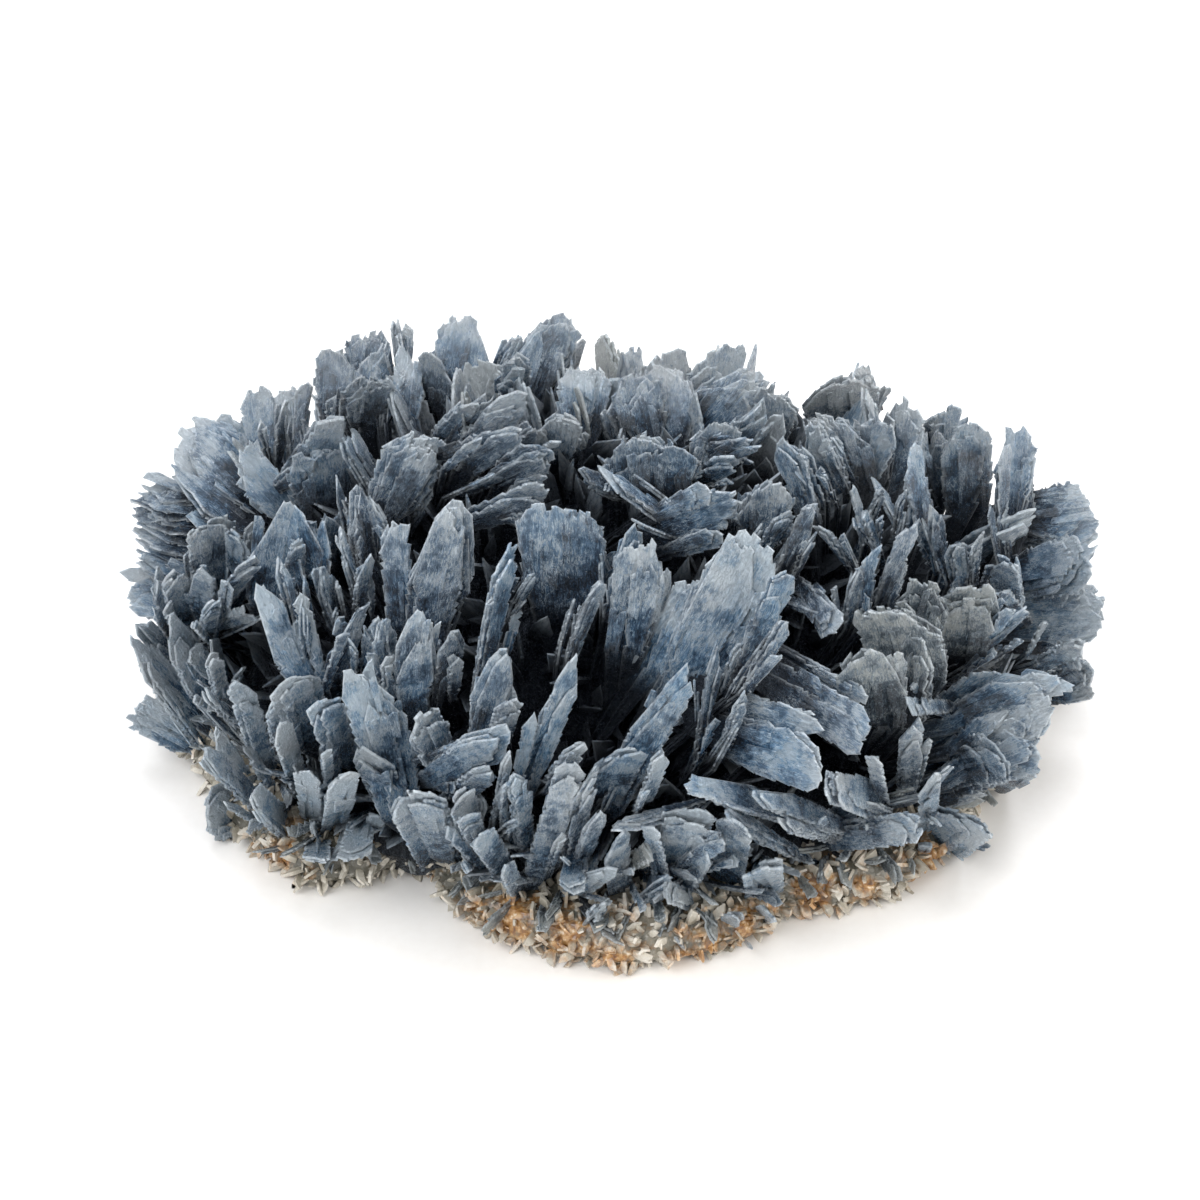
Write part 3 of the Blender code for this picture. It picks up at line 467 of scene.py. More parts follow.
def burial(foot, axis):
    """How far a blade goes on below its foot before it is well inside the massive barite."""
    length = 0.0
    step = 1.0 * MM
    while length < LONGEST_BURIAL:
        length += step
        point = foot - length * axis
        rearward = (point.y - HEART.y) / REACH_BACK
        if level_at(point) < flared(point.z, rearward, ROOT_LEVEL, ROOT_FRONT_LEVEL, ROOT_REAR_LEVEL):
            return length + BURIED
    return None


def rooted(tip, foot, line):
    """Move a foot deeper along its sight line until the blade's run ends in the massive barite."""
    deepest = 14 * MM
    step = 1.0 * MM
    depth = 0.0
    while depth <= deepest:
        moved = foot + depth * line
        axis = (tip - moved).normalized()
        length = burial(moved, axis)
        if length is not None:
            return moved, length
        depth += step
    return foot, LONGEST_BURIAL


def blade_frame(tip, foot, turn):
    """Directions along, across and out of a blade's flat face."""
    along = (tip - foot).normalized()
    towards_viewer = (VIEWPOINT - foot).normalized()
    facing = (towards_viewer - towards_viewer.dot(along) * along).normalized()
    side = along.cross(facing)
    out = facing * math.cos(turn) + side * math.sin(turn)
    return along, along.cross(out), out


# A bundle of laminae, ready to be drawn: where it stands, its size, the shape of its end, and its looks
Bundle = namedtuple("Bundle", "tip foot buried width turn end mirrored stout tone tint clear seed")


class Growth:
    """Points, faces and looks of many crystals, gathered into one mesh."""

    def __init__(self, name):
        self.name = name
        self.points = []
        self.faces = []
        self.rim = []
        self.run = []
        self.tone = []
        self.tint = []
        self.clear = []
        self.grain = []

    def add(self, point, rim, run, tone, tint, clear, grain):
        self.points.append(point)
        self.rim.append(rim)
        self.run.append(run)
        self.tone.append(tone)
        self.tint.append(tint)
        self.clear.append(clear)
        self.grain.append(grain)
        return len(self.points) - 1

    def mesh(self):
        made = bpy.data.meshes.new(self.name)
        made.from_pydata(self.points, [], self.faces)
        for label, values in (("rim", self.rim), ("run", self.run), ("tone", self.tone),
                              ("tint", self.tint), ("clear", self.clear)):
            layer = made.attributes.new(label, "FLOAT", "POINT")
            layer.data.foreach_set("value", values)
        grain = made.uv_layers.new(name="grain")
        corners = [0.0] * (2 * len(made.loops))
        for i, loop in enumerate(made.loops):
            corners[2 * i], corners[2 * i + 1] = self.grain[loop.vertex_index]
        grain.data.foreach_set("uv", corners)
        made.validate()
        return made


def end_shape(bundle, rng):
    """Where the tip of a blade stands across it, and the slopes of its edge, with chance's share in them."""
    tip, *slopes = END_CUTS[bundle.end]
    tip += rng.uniform(-1, 1) * TIP_PLAY
    slopes = [slope + rng.uniform(-1, 1) * SLOPE_PLAY for slope in slopes]
    bends = (rng.uniform(0.35, 0.75), rng.uniform(0.35, 0.75))
    if bundle.mirrored:
        return -tip, slopes[::-1], bends
    return tip, slopes, bends


def corners_of(bundle, shape, length, trim, squeeze, shift, rng):
    """Corners of a lamina, from one buried end over the free end to the other, left to right."""
    tip, slopes, bends = shape
    wide = bundle.width * squeeze
    top = length * (1 - trim)
    tip_x = (tip + rng.uniform(-1, 1) * LAMINA_PLAY) * wide
    drops = []
    edges = ((-1, slopes[1], slopes[0], bends[0]), (1, slopes[2], slopes[3], bends[1]))
    for side, inner, outer, bend in edges:
        across = 0.5 * wide - side * tip_x
        inner_drop = math.tan(math.radians(inner)) * across * bend
        outer_drop = inner_drop + math.tan(math.radians(outer)) * across * (1 - bend)
        fit = min(1.0, MOST_CUT * top / outer_drop)
        drops.append((tip_x + side * across * bend, inner_drop * fit, outer_drop * fit))
    chain = [
        (-0.5 * wide, top - drops[0][2]), (drops[0][0], top - drops[0][1]), (tip_x, top),
        (drops[1][0], top - drops[1][1]), (0.5 * wide, top - drops[1][2]),
    ]
    left = []
    right = []
    for side, points, shoulder in ((-1, left, chain[0]), (1, right, chain[-1])):
        for share, run in SIDES:
            y = -bundle.buried if run is BURIED_END else min(run * length, 0.9 * shoulder[1])
            play = 0.0 if run is BURIED_END else rng.uniform(-1, 1) * CORNER_PLAY
            points.append((side * (share + play) * wide, y))
    return [(x + shift, y) for x, y in left + chain + right[::-1]]


def toothed_side(corners, outwards, rng):
    """A side from below: laths that end one above the other, as teeth. outwards is -1 at the left."""
    points = [corners[0]]
    y = max(corners[0][1], -1.5 * MM)
    for lower, upper in zip(corners, corners[1:]):
        while y < upper[1] - 0.6 * MM:
            y = min(y + rng.uniform(*TOOTH_LENGTHS), upper[1] - 0.3 * MM)
            share = (y - lower[1]) / (upper[1] - lower[1])
            x = lower[0] + share * (upper[0] - lower[0])
            bite = rng.uniform(0.1, 1.0) * TOOTH_BITE
            points.append((x, y))
            points.append((x - outwards * bite, y + 0.4 * bite))
    return points


def height_over(chain, x):
    """Height of a chain of points, left to right, at a place across it."""
    for (x0, y0), (x1, y1) in zip(chain, chain[1:]):
        if x <= x1:
            return y0 + (y1 - y0) * (x - x0) / max(x1 - x0, 1e-9)
    return chain[-1][1]


def stepped_end(chain, steps, rng):
    """A free end from left to right: laths side by side, most cut off a little lower and a few much lower."""
    points = [chain[0]]
    x = chain[0][0]
    last = chain[-1][0]
    least = min(chain[0][1], chain[-1][1]) + 0.1 * MM
    while x < last - 0.2 * MM:
        wide = min(rng.uniform(*LATH_WIDTHS), last - x)
        lower = steps * rng.random() ** 2
        slant = rng.uniform(-0.2, 0.2) * wide
        points.append((x, max(height_over(chain, x) - lower - slant, least)))
        points.append((x + wide, max(height_over(chain, x + wide) - lower + slant, least)))
        x += wide
    points.append(chain[-1])
    return points


def lamina_outline(bundle, shape, length, trim, squeeze, shift, rng):
    """One lamina's outline: toothed sides and a stepped free end, with its last edge out of sight."""
    corners = corners_of(bundle, shape, length, trim, squeeze, shift, rng)
    last_side = len(SIDES)
    left = toothed_side(corners[:last_side + 1], -1, rng)
    right = toothed_side(corners[:-last_side - 2:-1], 1, rng)
    steps = END_STEPS * min(1.0, bundle.width / (5 * MM)) * min(1.0, length / (9 * MM))
    end = stepped_end(corners[last_side:-last_side], steps, rng)
    return left + end + right[::-1]


def inset(outline, depth, top, width, shift):
    """An outline moved inwards, towards the blade's spine."""
    moved = []
    for x, y in outline:
        spine_y = min(max(y, 0.0), max(top - 0.5 * width, 0.3 * top))
        if y < 0:
            spine_y = y
        away = Vector((x - shift, y - spine_y))
        size = max(away.length, 1e-6)
        keep = max(size - depth, 0.5 * size) / size
        moved.append((shift + away.x * keep, spine_y + away.y * keep))
    return moved


def add_plate(growth, place, outline, edge_rim, rings_of):
    """A closed plate: its edge, then on each side the rings inside it and a last flat face."""
    count = len(outline)
    edge = [place(x, y, 0.0, edge_rim) for x, y in outline]
    for side, rings in rings_of.items():
        outer = edge
        for points, height, rim in rings:
            inner = [place(x, y, side * height, rim) for x, y in points]
            for i in range(count):
                after = (i + 1) % count
                quad = (outer[i], outer[after], inner[after], inner[i])
                growth.faces.append(quad if side > 0 else tuple(reversed(quad)))
            outer = inner
        growth.faces.append(tuple(outer) if side > 0 else tuple(reversed(outer)))


def placer(growth, bundle, axes, length, lift, bend, tone, rng):
    """A function that adds a point of a blade, given across, along and out of its flat face."""
    along, across, out = axes
    inwards = (HEART - bundle.foot).normalized()
    offset = rng.uniform(0, 50)

    def place(x, y, z, rim):
        share = min(max(y / length, -1.0), 1.0)
        relief = 0.0 if rim > 0.9 else 0.05 * MM * noise.noise(Vector((x / (1.1 * MM), y / (3 * MM), offset)))
        at = bundle.foot + along * y + across * x + out * (lift + z + relief + bend * share * share)
        if y < 0:
            at += inwards * min(y * y / STALK_BEND, STALK_SWAY)
        at.z = max(at.z, 0.7 * MM)
        # Near the ground a stalk's run stays at 0 or above, so it gets less painted shade
        run = share if at.z > NEAR_GROUND else max(share, 0.0)
        clear = bundle.clear * max(share, 0.0) ** 1.3
        return growth.add(at, rim, run, tone, bundle.tint, clear, (x / MM + 31.7 * (offset % 1), y / MM))

    return place


def add_scales(growth, bundle, axes, length, thickness, bend, rng):
    """Short laths that lie on a blade's two faces and end one after another, as small steps."""
    count = round(SCALES_PER_MM * bundle.width / MM)
    for side in (-1, 1):
        for _ in range(count):
            wide = min(rng.uniform(*SCALE_WIDTHS), 0.4 * bundle.width)
            long = min(rng.uniform(*SCALE_LENGTHS), 0.6 * length)
            x = rng.uniform(-0.42, 0.42) * bundle.width
            top = length * (0.94 - 0.5 * abs(x) / bundle.width) - rng.random() * 0.6 * length
            slant = rng.uniform(-0.6, 0.6) * wide
            outline = [
                (x - 0.4 * wide, top - long), (x - 0.5 * wide, top - slant),
                (x + 0.1 * wide, top + 0.3 * wide), (x + 0.5 * wide, top + slant),
                (x + 0.3 * wide, top - long - 0.4 * wide),
            ]
            middle = top - 0.5 * long
            inner = [(x + 0.85 * (u - x), middle + 0.95 * (v - middle)) for u, v in outline]
            height = rng.uniform(*SCALE_HEIGHTS)
            tone = bundle.tone + rng.uniform(-0.16, 0.16)
            lift = side * 0.5 * thickness
            place = placer(growth, bundle, axes, length, lift, bend, tone, rng)
            rings = {side: [(inner, height, 0.1)], -side: [(inner, 0.15 * MM, 0.0)]}
            add_plate(growth, place, outline, 0.35, rings)


def add_bundle(growth, bundle):
    """A blade: a bundle of laminae, the outer ones shorter and narrower, so that its faces step."""
    rng = random.Random(bundle.seed)
    axes = blade_frame(bundle.tip, bundle.foot, bundle.turn)
    length = (bundle.tip - bundle.foot).length
    thickness = (THINNEST + THICKNESS_PER_WIDTH * bundle.width) * bundle.stout
    count = max(2, min(MOST_LAMINAE, round(thickness / LAMINA_PITCH)))
    pitch = thickness / count
    longest = rng.randrange(count)
    bend = rng.uniform(-0.7, 0.7) * MM
    shape = end_shape(bundle, rng)
    for i in range(count):
        trim = 0.0 if i == longest else rng.uniform(0.0, 0.24)
        squeeze = 1.0 if i == longest else rng.uniform(0.50, 1.0)
        shift = rng.uniform(-1, 1) * (0.5 * (1 - squeeze) + 0.03) * bundle.width
        outline = lamina_outline(bundle, shape, length, trim, squeeze, shift, rng)
        top = max(y for x, y in outline)
        lift = (i + 0.5 - 0.5 * count) * pitch
        half = 0.5 * pitch * rng.uniform(0.80, 1.04)
        tone = bundle.tone + rng.uniform(-0.13, 0.13)
        place = placer(growth, bundle, axes, length, lift, bend, tone, rng)
        bevel = inset(outline, EDGE_INSET, top, bundle.width, shift)
        band = inset(outline, RIM_BAND, top, bundle.width, shift)
        rings = {}
        for side, shown in ((-1, i <= longest), (1, i >= longest)):
            rings[side] = [(bevel, half, 0.35)]
            if shown:
                rings[side].append((band, half, 0.0))
        add_plate(growth, place, outline, 1.0, rings)
    if bundle.width > 2.4 * MM:
        add_scales(growth, bundle, axes, length, thickness, bend, rng)


def companions(bundle, most):
    """Narrower blades beside a blade, off its direction by a few degrees, on one side or the other."""
    rng = random.Random(bundle.seed + 7)
    along, across, out = blade_frame(bundle.tip, bundle.foot, bundle.turn)
    length = (bundle.tip - bundle.foot).length
    made = []
    if length < SHORT_BLADE:
        return made
    behind_only = bundle.width > WIDE_BLADE
    for number in range(1 if behind_only else most):
        share = rng.uniform(*COMPANION_LENGTHS)
        width = bundle.width * rng.uniform(*COMPANION_WIDTHS)
        aside = rng.choice((-1, 1)) * rng.uniform(0.2, 0.6) * bundle.width
        hand = -1 if behind_only else rng.choice((-1, 1))
        apart = hand * (0.5 * MM + rng.uniform(0.05, 0.15) * bundle.width)
        foot = bundle.foot + across * aside + out * apart
        lean = across * rng.uniform(-COMPANION_LEAN, COMPANION_LEAN)
        lean += out * rng.uniform(-1, 1) * COMPANION_LEAN
        tip = foot + (along + lean).normalized() * length * share
        tip.z = max(tip.z, LOWEST_TIP)
        made.append(bundle._replace(
            tip=tip, foot=foot, width=max(width, 1.2 * MM), turn=bundle.turn + rng.uniform(-0.7, 0.7),
            end=rng.choice(sorted(END_CUTS)), mirrored=rng.random() < 0.5, stout=0.7,
            tone=bundle.tone + rng.uniform(-0.16, 0.12), seed=bundle.seed + 40000 * (number + 1),
        ))
    return made


# Looks of a seen blade, from the pixel of its tip. Light from behind shows most through the ends that
# stand above BACKLIT_ROW, and well through those far out at either side
BACKLIT_ROW = 480
BACKLIT_SPAN = 90
LEAST_CLEAR = 0.22
FAR_OUT = (200, 1070)
CLEAR_FAR_OUT = 0.6

# Tones of the blades, and the areas of the photograph, by two corners, where they are lighter or darker
TONES = (0.26, 0.66)
TONE_AREAS = [
    ((0, 640), (1200, 1200), 0.15), ((0, 560), (430, 1200), 0.26), ((0, 0), (330, 560), -0.05),
    ((1040, 0), (1200, 640), 0.26),
]
PALE_TIPS = [(363, 656), (762, 534), (574, 764), (872, 758), (606, 832)]
PALE_TONE = 0.76

# Tints run from blue at 0 to greenish at 1
BLUE_AREAS = [((1000, 0), (1200, 1200)), ((0, 560), (420, 1200))]
BLUE_TINTS = (0.0, 0.30)
MIXED_TINTS = (0.0, 0.80)
GREEN_TIPS = [(936, 577), (974, 582), (888, 600), (868, 645)]
GREEN_TINT = 0.9

# Groups of blades, by the part of the cluster that they stand in
REGIONS = ["crown", "left", "middle", "right", "front", "rear_left", "rear_right", "skirt"]


def region_of(blade):
    """The part of the cluster that a seen blade stands in, from its foot's place in the photograph."""
    x, y = blade.foot
    if y > 780:
        return "front"
    if x < 320:
        return "left"
    if x > 800:
        return "right"
    return "crown" if y < 500 else "middle"


def within_box(point, line):
    """Move a point back along its sight line, and in from the sides, into the box of the solid model."""
    low, high = CAD_BOX
    front = low.y + BOX_MARGIN
    if point.y < front:
        point = point + (front - point.y) / line.y * line
    point.x = min(max(point.x, low.x + BOX_MARGIN), high.x - BOX_MARGIN)
    return point


def stalk_length(tip, foot, buried):
    """How far a blade goes on below its foot: not so far that it would reach the ground."""
    rise = (tip - foot).normalized().z
    longest = min(buried, LONGEST_STALK)
    if rise < 0.1:
        return longest
    return min(longest, max((foot.z - STALK_GROUND) / rise, 1.5 * MM))


def within(pixel, first, last):
    return first[0] < pixel[0] < last[0] and first[1] < pixel[1] < last[1]


def looks_of(blade, number):
    """Tone, tint and clearness of a seen blade, from where its tip is in the photograph."""
    looks = random.Random(1000 + number)
    tone = looks.uniform(*TONES)
    for first, last, more in TONE_AREAS:
        if within(blade.tip, first, last):
            tone += more
    if blade.tip in PALE_TIPS:
        tone = PALE_TONE
    blue = any(within(blade.tip, first, last) for first, last in BLUE_AREAS)
    tint = GREEN_TINT if blade.tip in GREEN_TIPS else looks.uniform(*(BLUE_TINTS if blue else MIXED_TINTS))
    clear = min(max((BACKLIT_ROW - blade.tip[1]) / BACKLIT_SPAN, LEAST_CLEAR), 1.0)
    if blade.tip[0] < FAR_OUT[0] or blade.tip[0] > FAR_OUT[1]:
        clear = max(clear, CLEAR_FAR_OUT)
    return tone, tint, clear


def seen_bundles():
    """Blades that the photograph shows, each where its pixels put it."""
    bundles = []
    rng = random.Random(5)
    for number, blade in enumerate(SEEN_BLADES):
        tip_line = sight_line(blade.tip)
        foot_line = sight_line(blade.foot)
        tip = within_box(on_level(blade.tip, TIP_LEVEL) - blade.near * MM * tip_line, tip_line)
        foot = within_box(on_level(blade.foot, FOOT_LEVEL) - blade.near * MM * foot_line, foot_line)
        foot, buried = rooted(tip, foot, foot_line)
        tip.z = max(tip.z, LOWEST_TIP)
        mirrored = rng.random() < 0.5
        tone, tint, clear = looks_of(blade, number)
        bundles.append((region_of(blade), Bundle(
            tip, foot, stalk_length(tip, foot, buried), blade.width * MM, math.radians(blade.turn),
            blade.end, mirrored, 1.0, tone, tint, clear, 2000 + number,
        )))
    return bundles


def direction(azimuth, elevation):
    """Unit vector at an azimuth from +X towards +Y and an elevation above the ground."""
    return Vector((
        math.cos(elevation) * math.cos(azimuth),
        math.cos(elevation) * math.sin(azimuth),
        math.sin(elevation),
    ))


def rear_bundles():
    """Blades of the rear flank: rings that fan out from the root, each blade turned its own way."""
    rng = random.Random(REAR_SEED)
    bundles = []
    for elevation, count in REAR_RINGS:
        for i in range(count):
            azimuth = REAR_FROM + (REAR_TO - REAR_FROM) * (i + rng.uniform(0.2, 0.8)) / count
            tilt = math.radians(elevation + rng.uniform(-5, 5))
            towards = direction(azimuth, tilt)
            reach = reach_towards(towards)
            scale = Vector((towards.x / reach.x, towards.y / reach.y, towards.z / reach.z)).length
            tip = HEART + towards / scale * rng.uniform(*REAR_LEVELS)
            tip.z = max(tip.z, 5 * MM)
            root = ROOT_OF_THE_FAN + Vector((0.55 * tip.x, 0.3 * tip.y, rng.uniform(0, 6) * MM))
            foot = tip.lerp(root, rng.uniform(*REAR_LENGTHS))
            width = rng.uniform(*REAR_WIDTHS) * MM
            end = rng.choice(sorted(END_CUTS))
            turn = rng.uniform(0, math.pi)
            mirrored = rng.random() < 0.5
            looks = random.Random(f"{elevation} {i}")
            bundles.append(("rear_left" if tip.x < 0 else "rear_right", Bundle(
                tip, foot, BURIED + 6 * MM, width, turn, end, mirrored, 1.0,
                looks.uniform(0.35, 0.72), looks.random(), 0.5, 5000 + 100 * elevation + i,
            )))
    return bundles


def skirt_bundles():
    """Small blades that point outwards all round the foot of the cluster."""
    rng = random.Random(SKIRT_SEED)
    rim = smoothed_rim()
    count = len(rim)
    bundles = []
    for number, (inset_by, height, rise) in enumerate(SKIRT_ROWS):
        due = 0.0
        for i in range(count):
            due -= (rim[i] - rim[i - 1]).length
            if due > 0:
                continue
            due = SKIRT_SPACING * rng.uniform(0.6, 1.4)
            run = rim[(i + 3) % count] - rim[i - 3]
            outwards = Vector((run.y, -run.x, 0)).normalized()
            root = rim[i] - outwards * inset_by
            root.z = height + rng.uniform(-1.2, 1.2) * MM
            heading = math.atan2(outwards.y, outwards.x) + rng.gauss(0, 0.5)
            towards = direction(heading, math.radians(rise + rng.uniform(-16, 16)))
            length = rng.uniform(*SKIRT_LENGTHS) * (1 + 0.35 * number)
            root.y += max(CAD_BOX[0].y + BOX_MARGIN - root.y - length * towards.y, 0.0)
            looks = random.Random(f"skirt {number} {i}")
            tone = looks.uniform(0.30, 0.85)
            tint = looks.uniform(SKIRT_TINTS[number], 1.0)
            bundles.append(("skirt", Bundle(
                root + towards * length, root, 2.5 * MM, rng.uniform(*SKIRT_WIDTHS), rng.uniform(0, math.pi),
                rng.choice(("chisel", "point")), rng.random() < 0.5, 0.6, tone, tint, 0.5,
                9000 + 400 * number + i,
            )))
    return bundles


def new_object(mesh):
    made = bpy.data.objects.new(mesh.name, mesh)
    bpy.context.scene.collection.objects.link(made)
    return made


def blades_by_region():
    """One piece for each region of the cluster."""
    growths = {region: Growth(f"blades_{region}") for region in REGIONS}
    for region, bundle in seen_bundles() + rear_bundles():
        most = 1 if region in ("front", "rear_left", "rear_right") else COMPANIONS
        for blade in [bundle] + companions(bundle, most):
            add_bundle(growths[region], blade)
    for region, bundle in skirt_bundles():
        add_bundle(growths[region], bundle)
    return [new_object(growth.mesh()) for growth in growths.values()]


def mound_mesh():
    """The massive barite deep between the blades: a lumpy dome, flared towards the crust."""
    growth = Growth("massive_barite")
    rings = []
    top = HEART.z + MOUND_LEVEL * CROWN_RISE
    for ring_number in range(MOUND_RINGS):
        share = ring_number / MOUND_RINGS
        height = 1.5 * MM + (top - 1.5 * MM) * math.sin(0.5 * math.pi * share)
        ring = []
        for i in range(MOUND_SIDES):
            turn = 2 * math.pi * i / MOUND_SIDES
            towards = Vector((math.cos(turn), math.sin(turn), height - HEART.z))
            reach = reach_towards(towards)
            level = flared(height, towards.y, MOUND_LEVEL, MOUND_FRONT_LEVEL, MOUND_REAR_LEVEL)
            spread = math.sqrt(max(level ** 2 - (towards.z / reach.z) ** 2, 0.0004))
            at = HEART + Vector((towards.x * reach.x * spread, towards.y * reach.y * spread, towards.z))
            lump = noise.noise(at / (7 * MM)) + 0.5 * noise.noise(at / (2.6 * MM))
            at += (at - HEART).normalized() * lump * 1.3 * MM
            at.z = max(at.z, 1.0 * MM)
            ring.append(growth.add(at, 0.2, 0.0, 0.2, 0.5, 0.0, (at.x / MM, at.z / MM)))
        rings.append(ring)
    for lower, upper in zip(rings, rings[1:]):
        for i in range(MOUND_SIDES):
            after = (i + 1) % MOUND_SIDES
            growth.faces.append((lower[i], lower[after], upper[after], upper[i]))
    growth.faces.append(tuple(reversed(rings[0])))
    growth.faces.append(tuple(rings[-1]))
    return growth.mesh()


# Materials

def hex_colour(text):
    """An sRGB hex colour as linear light."""
    def linear(channel):
        return channel / 12.92 if channel <= 0.04045 else ((channel + 0.055) / 1.055) ** 2.4
    return tuple(linear(int(text[i:i + 2], 16) / 255) for i in (0, 2, 4)) + (1.0,)


def first_output(made):
    return [output for output in made.outputs if output.enabled][0]


def node(tree, kind, settings, inputs):
    """Add a node with its settings. An input takes a value, a socket, or a node's first output."""
    made = tree.nodes.new(kind)
    stops = settings.pop("stops", [])
    for name, value in settings.items():
        setattr(made, name, value)
    for position, colour in stops:
        made.color_ramp.elements.new(position).color = hex_colour(colour)
    if stops:
        made.color_ramp.elements.remove(made.color_ramp.elements[0])
        made.color_ramp.elements.remove(made.color_ramp.elements[-1])
    for name, value in inputs.items():
        found = [socket for socket in made.inputs if socket.name == name and socket.enabled]
        socket = made.inputs[name] if isinstance(name, int) else found[0]
        if isinstance(value, bpy.types.Node):
            value = first_output(value)
        if isinstance(value, bpy.types.NodeSocket):
            tree.links.new(value, socket)
        else:
            socket.default_value = value
    return made


def new_material(name):
    made = bpy.data.materials.new(name)
    made.use_nodes = True
    return made, made.node_tree, made.node_tree.nodes["Principled BSDF"]


BARITE_GREYS = [(0.12, "0b131c"), (0.30, "2b3a4c"), (0.48, "586d82"), (0.64, "889bae"), (0.86, "d0dae1")]
BARITE_BLUES = [(0.12, "08182b"), (0.32, "264a68"), (0.52, "5882a6"), (0.66, "7ea3c2"), (0.88, "bdd2e2")]
BARITE_GREENS = [(0.12, "171b1f"), (0.36, "404746"), (0.62, "7a807b"), (0.86, "b8bab0")]
PAINTED_BACKLIGHT = "c0d0dc"
IRON_STAIN = "a8845a"
FROST_AND_EDGE_HIGHLIGHT = "e0e9ef"
PAINTED_GLINT = "f4f6f7"
DEEP_SHADE = "060a12"
BARITE_LIGHTNESS = -1.14


Marks = namedtuple("Marks", "rim run tone tint clear stain depth")
Patterns = namedtuple("Patterns", "clouds specks flake fibres scores crest")


def barite_patterns(tree, place, grain):
    """Clouds of colour 3 mm across and specks of 0.3 mm. Flakes, fibres and fine scores that run along the
    blade, and crests, where one fibre ends on another."""
    clouds = node(tree, "ShaderNodeTexNoise", {}, {
        "Vector": place, "Scale": 330.0, "Detail": 5.0, "Roughness": 0.65,
    })
    specks = node(tree, "ShaderNodeTexNoise", {}, {
        "Vector": place, "Scale": 3000.0, "Detail": 2.0, "Roughness": 0.7,
    })
    flaked = node(tree, "ShaderNodeMapping", {}, {"Vector": grain, "Scale": (1.5, 0.45, 1.0)})
    flakes = node(tree, "ShaderNodeTexVoronoi", {}, {"Vector": flaked, "Scale": 1.0, "Randomness": 1.0})
    flake = node(tree, "ShaderNodeSeparateColor", {}, {"Color": flakes.outputs["Color"]}).outputs["Red"]
    fibred = node(tree, "ShaderNodeMapping", {}, {"Vector": grain, "Scale": (2.0, 0.62, 1.0)})
    fibres = node(tree, "ShaderNodeTexNoise", {}, {
        "Vector": fibred, "Scale": 1.0, "Detail": 6.0, "Roughness": 0.68, "Distortion": 0.9,
    })
    scored = node(tree, "ShaderNodeMapping", {}, {
        "Vector": grain, "Rotation": (0, 0, 0.12), "Scale": (6.0, 1.1, 1.0),
    })
    scores = node(tree, "ShaderNodeTexNoise", {}, {
        "Vector": scored, "Scale": 1.0, "Detail": 5.0, "Roughness": 0.72, "Distortion": 0.5,
    })
    off_crest = node(tree, "ShaderNodeMath", {"operation": "SUBTRACT"}, {0: fibres, 1: 0.5})
    off_crest = node(tree, "ShaderNodeMath", {"operation": "ABSOLUTE"}, {0: off_crest})
    crest = node(tree, "ShaderNodeMapRange", {}, {
        "Value": off_crest, "From Min": 0.0, "From Max": 0.030, "To Min": 1.0, "To Max": 0.0,
    })
    return Patterns(clouds, specks, flake, fibres, scores, crest)


def barite_value(tree, marks, patterns):
    """How light the barite is: most towards a blade's free end, partly its own paler end and partly painted
    shade lower down; where it is clear, as painted light coming through; and on its crests, as painted
    highlights.
    """
    scratched = node(tree, "ShaderNodeMapRange", {}, {
        "Value": patterns.scores, "From Min": 0.50, "From Max": 0.66, "To Min": 0.0, "To Max": 0.34,
    })
    # Painted highlight along the crests, where the clouds allow it
    crest_highlight = node(tree, "ShaderNodeMapRange", {}, {
        "Value": patterns.clouds, "From Min": 0.44, "From Max": 0.58, "To Min": 0.0, "To Max": 0.75,
    })
    value = node(tree, "ShaderNodeMath", {"operation": "ADD"}, {0: scratched, 1: BARITE_LIGHTNESS})
    # run: the blade's own paler end, and painted shade lower down. clear: painted light coming through
    for part, weight in (
        (patterns.clouds, 1.40), (patterns.crest, crest_highlight), (patterns.fibres, 0.34), (patterns.flake, 0.10),
        (marks.tone, 0.70), (marks.run, 0.50), (marks.clear, 0.34),
    ):
        value = node(tree, "ShaderNodeMath", {"operation": "MULTIPLY_ADD"}, {0: part, 1: weight, 2: value})
    return value


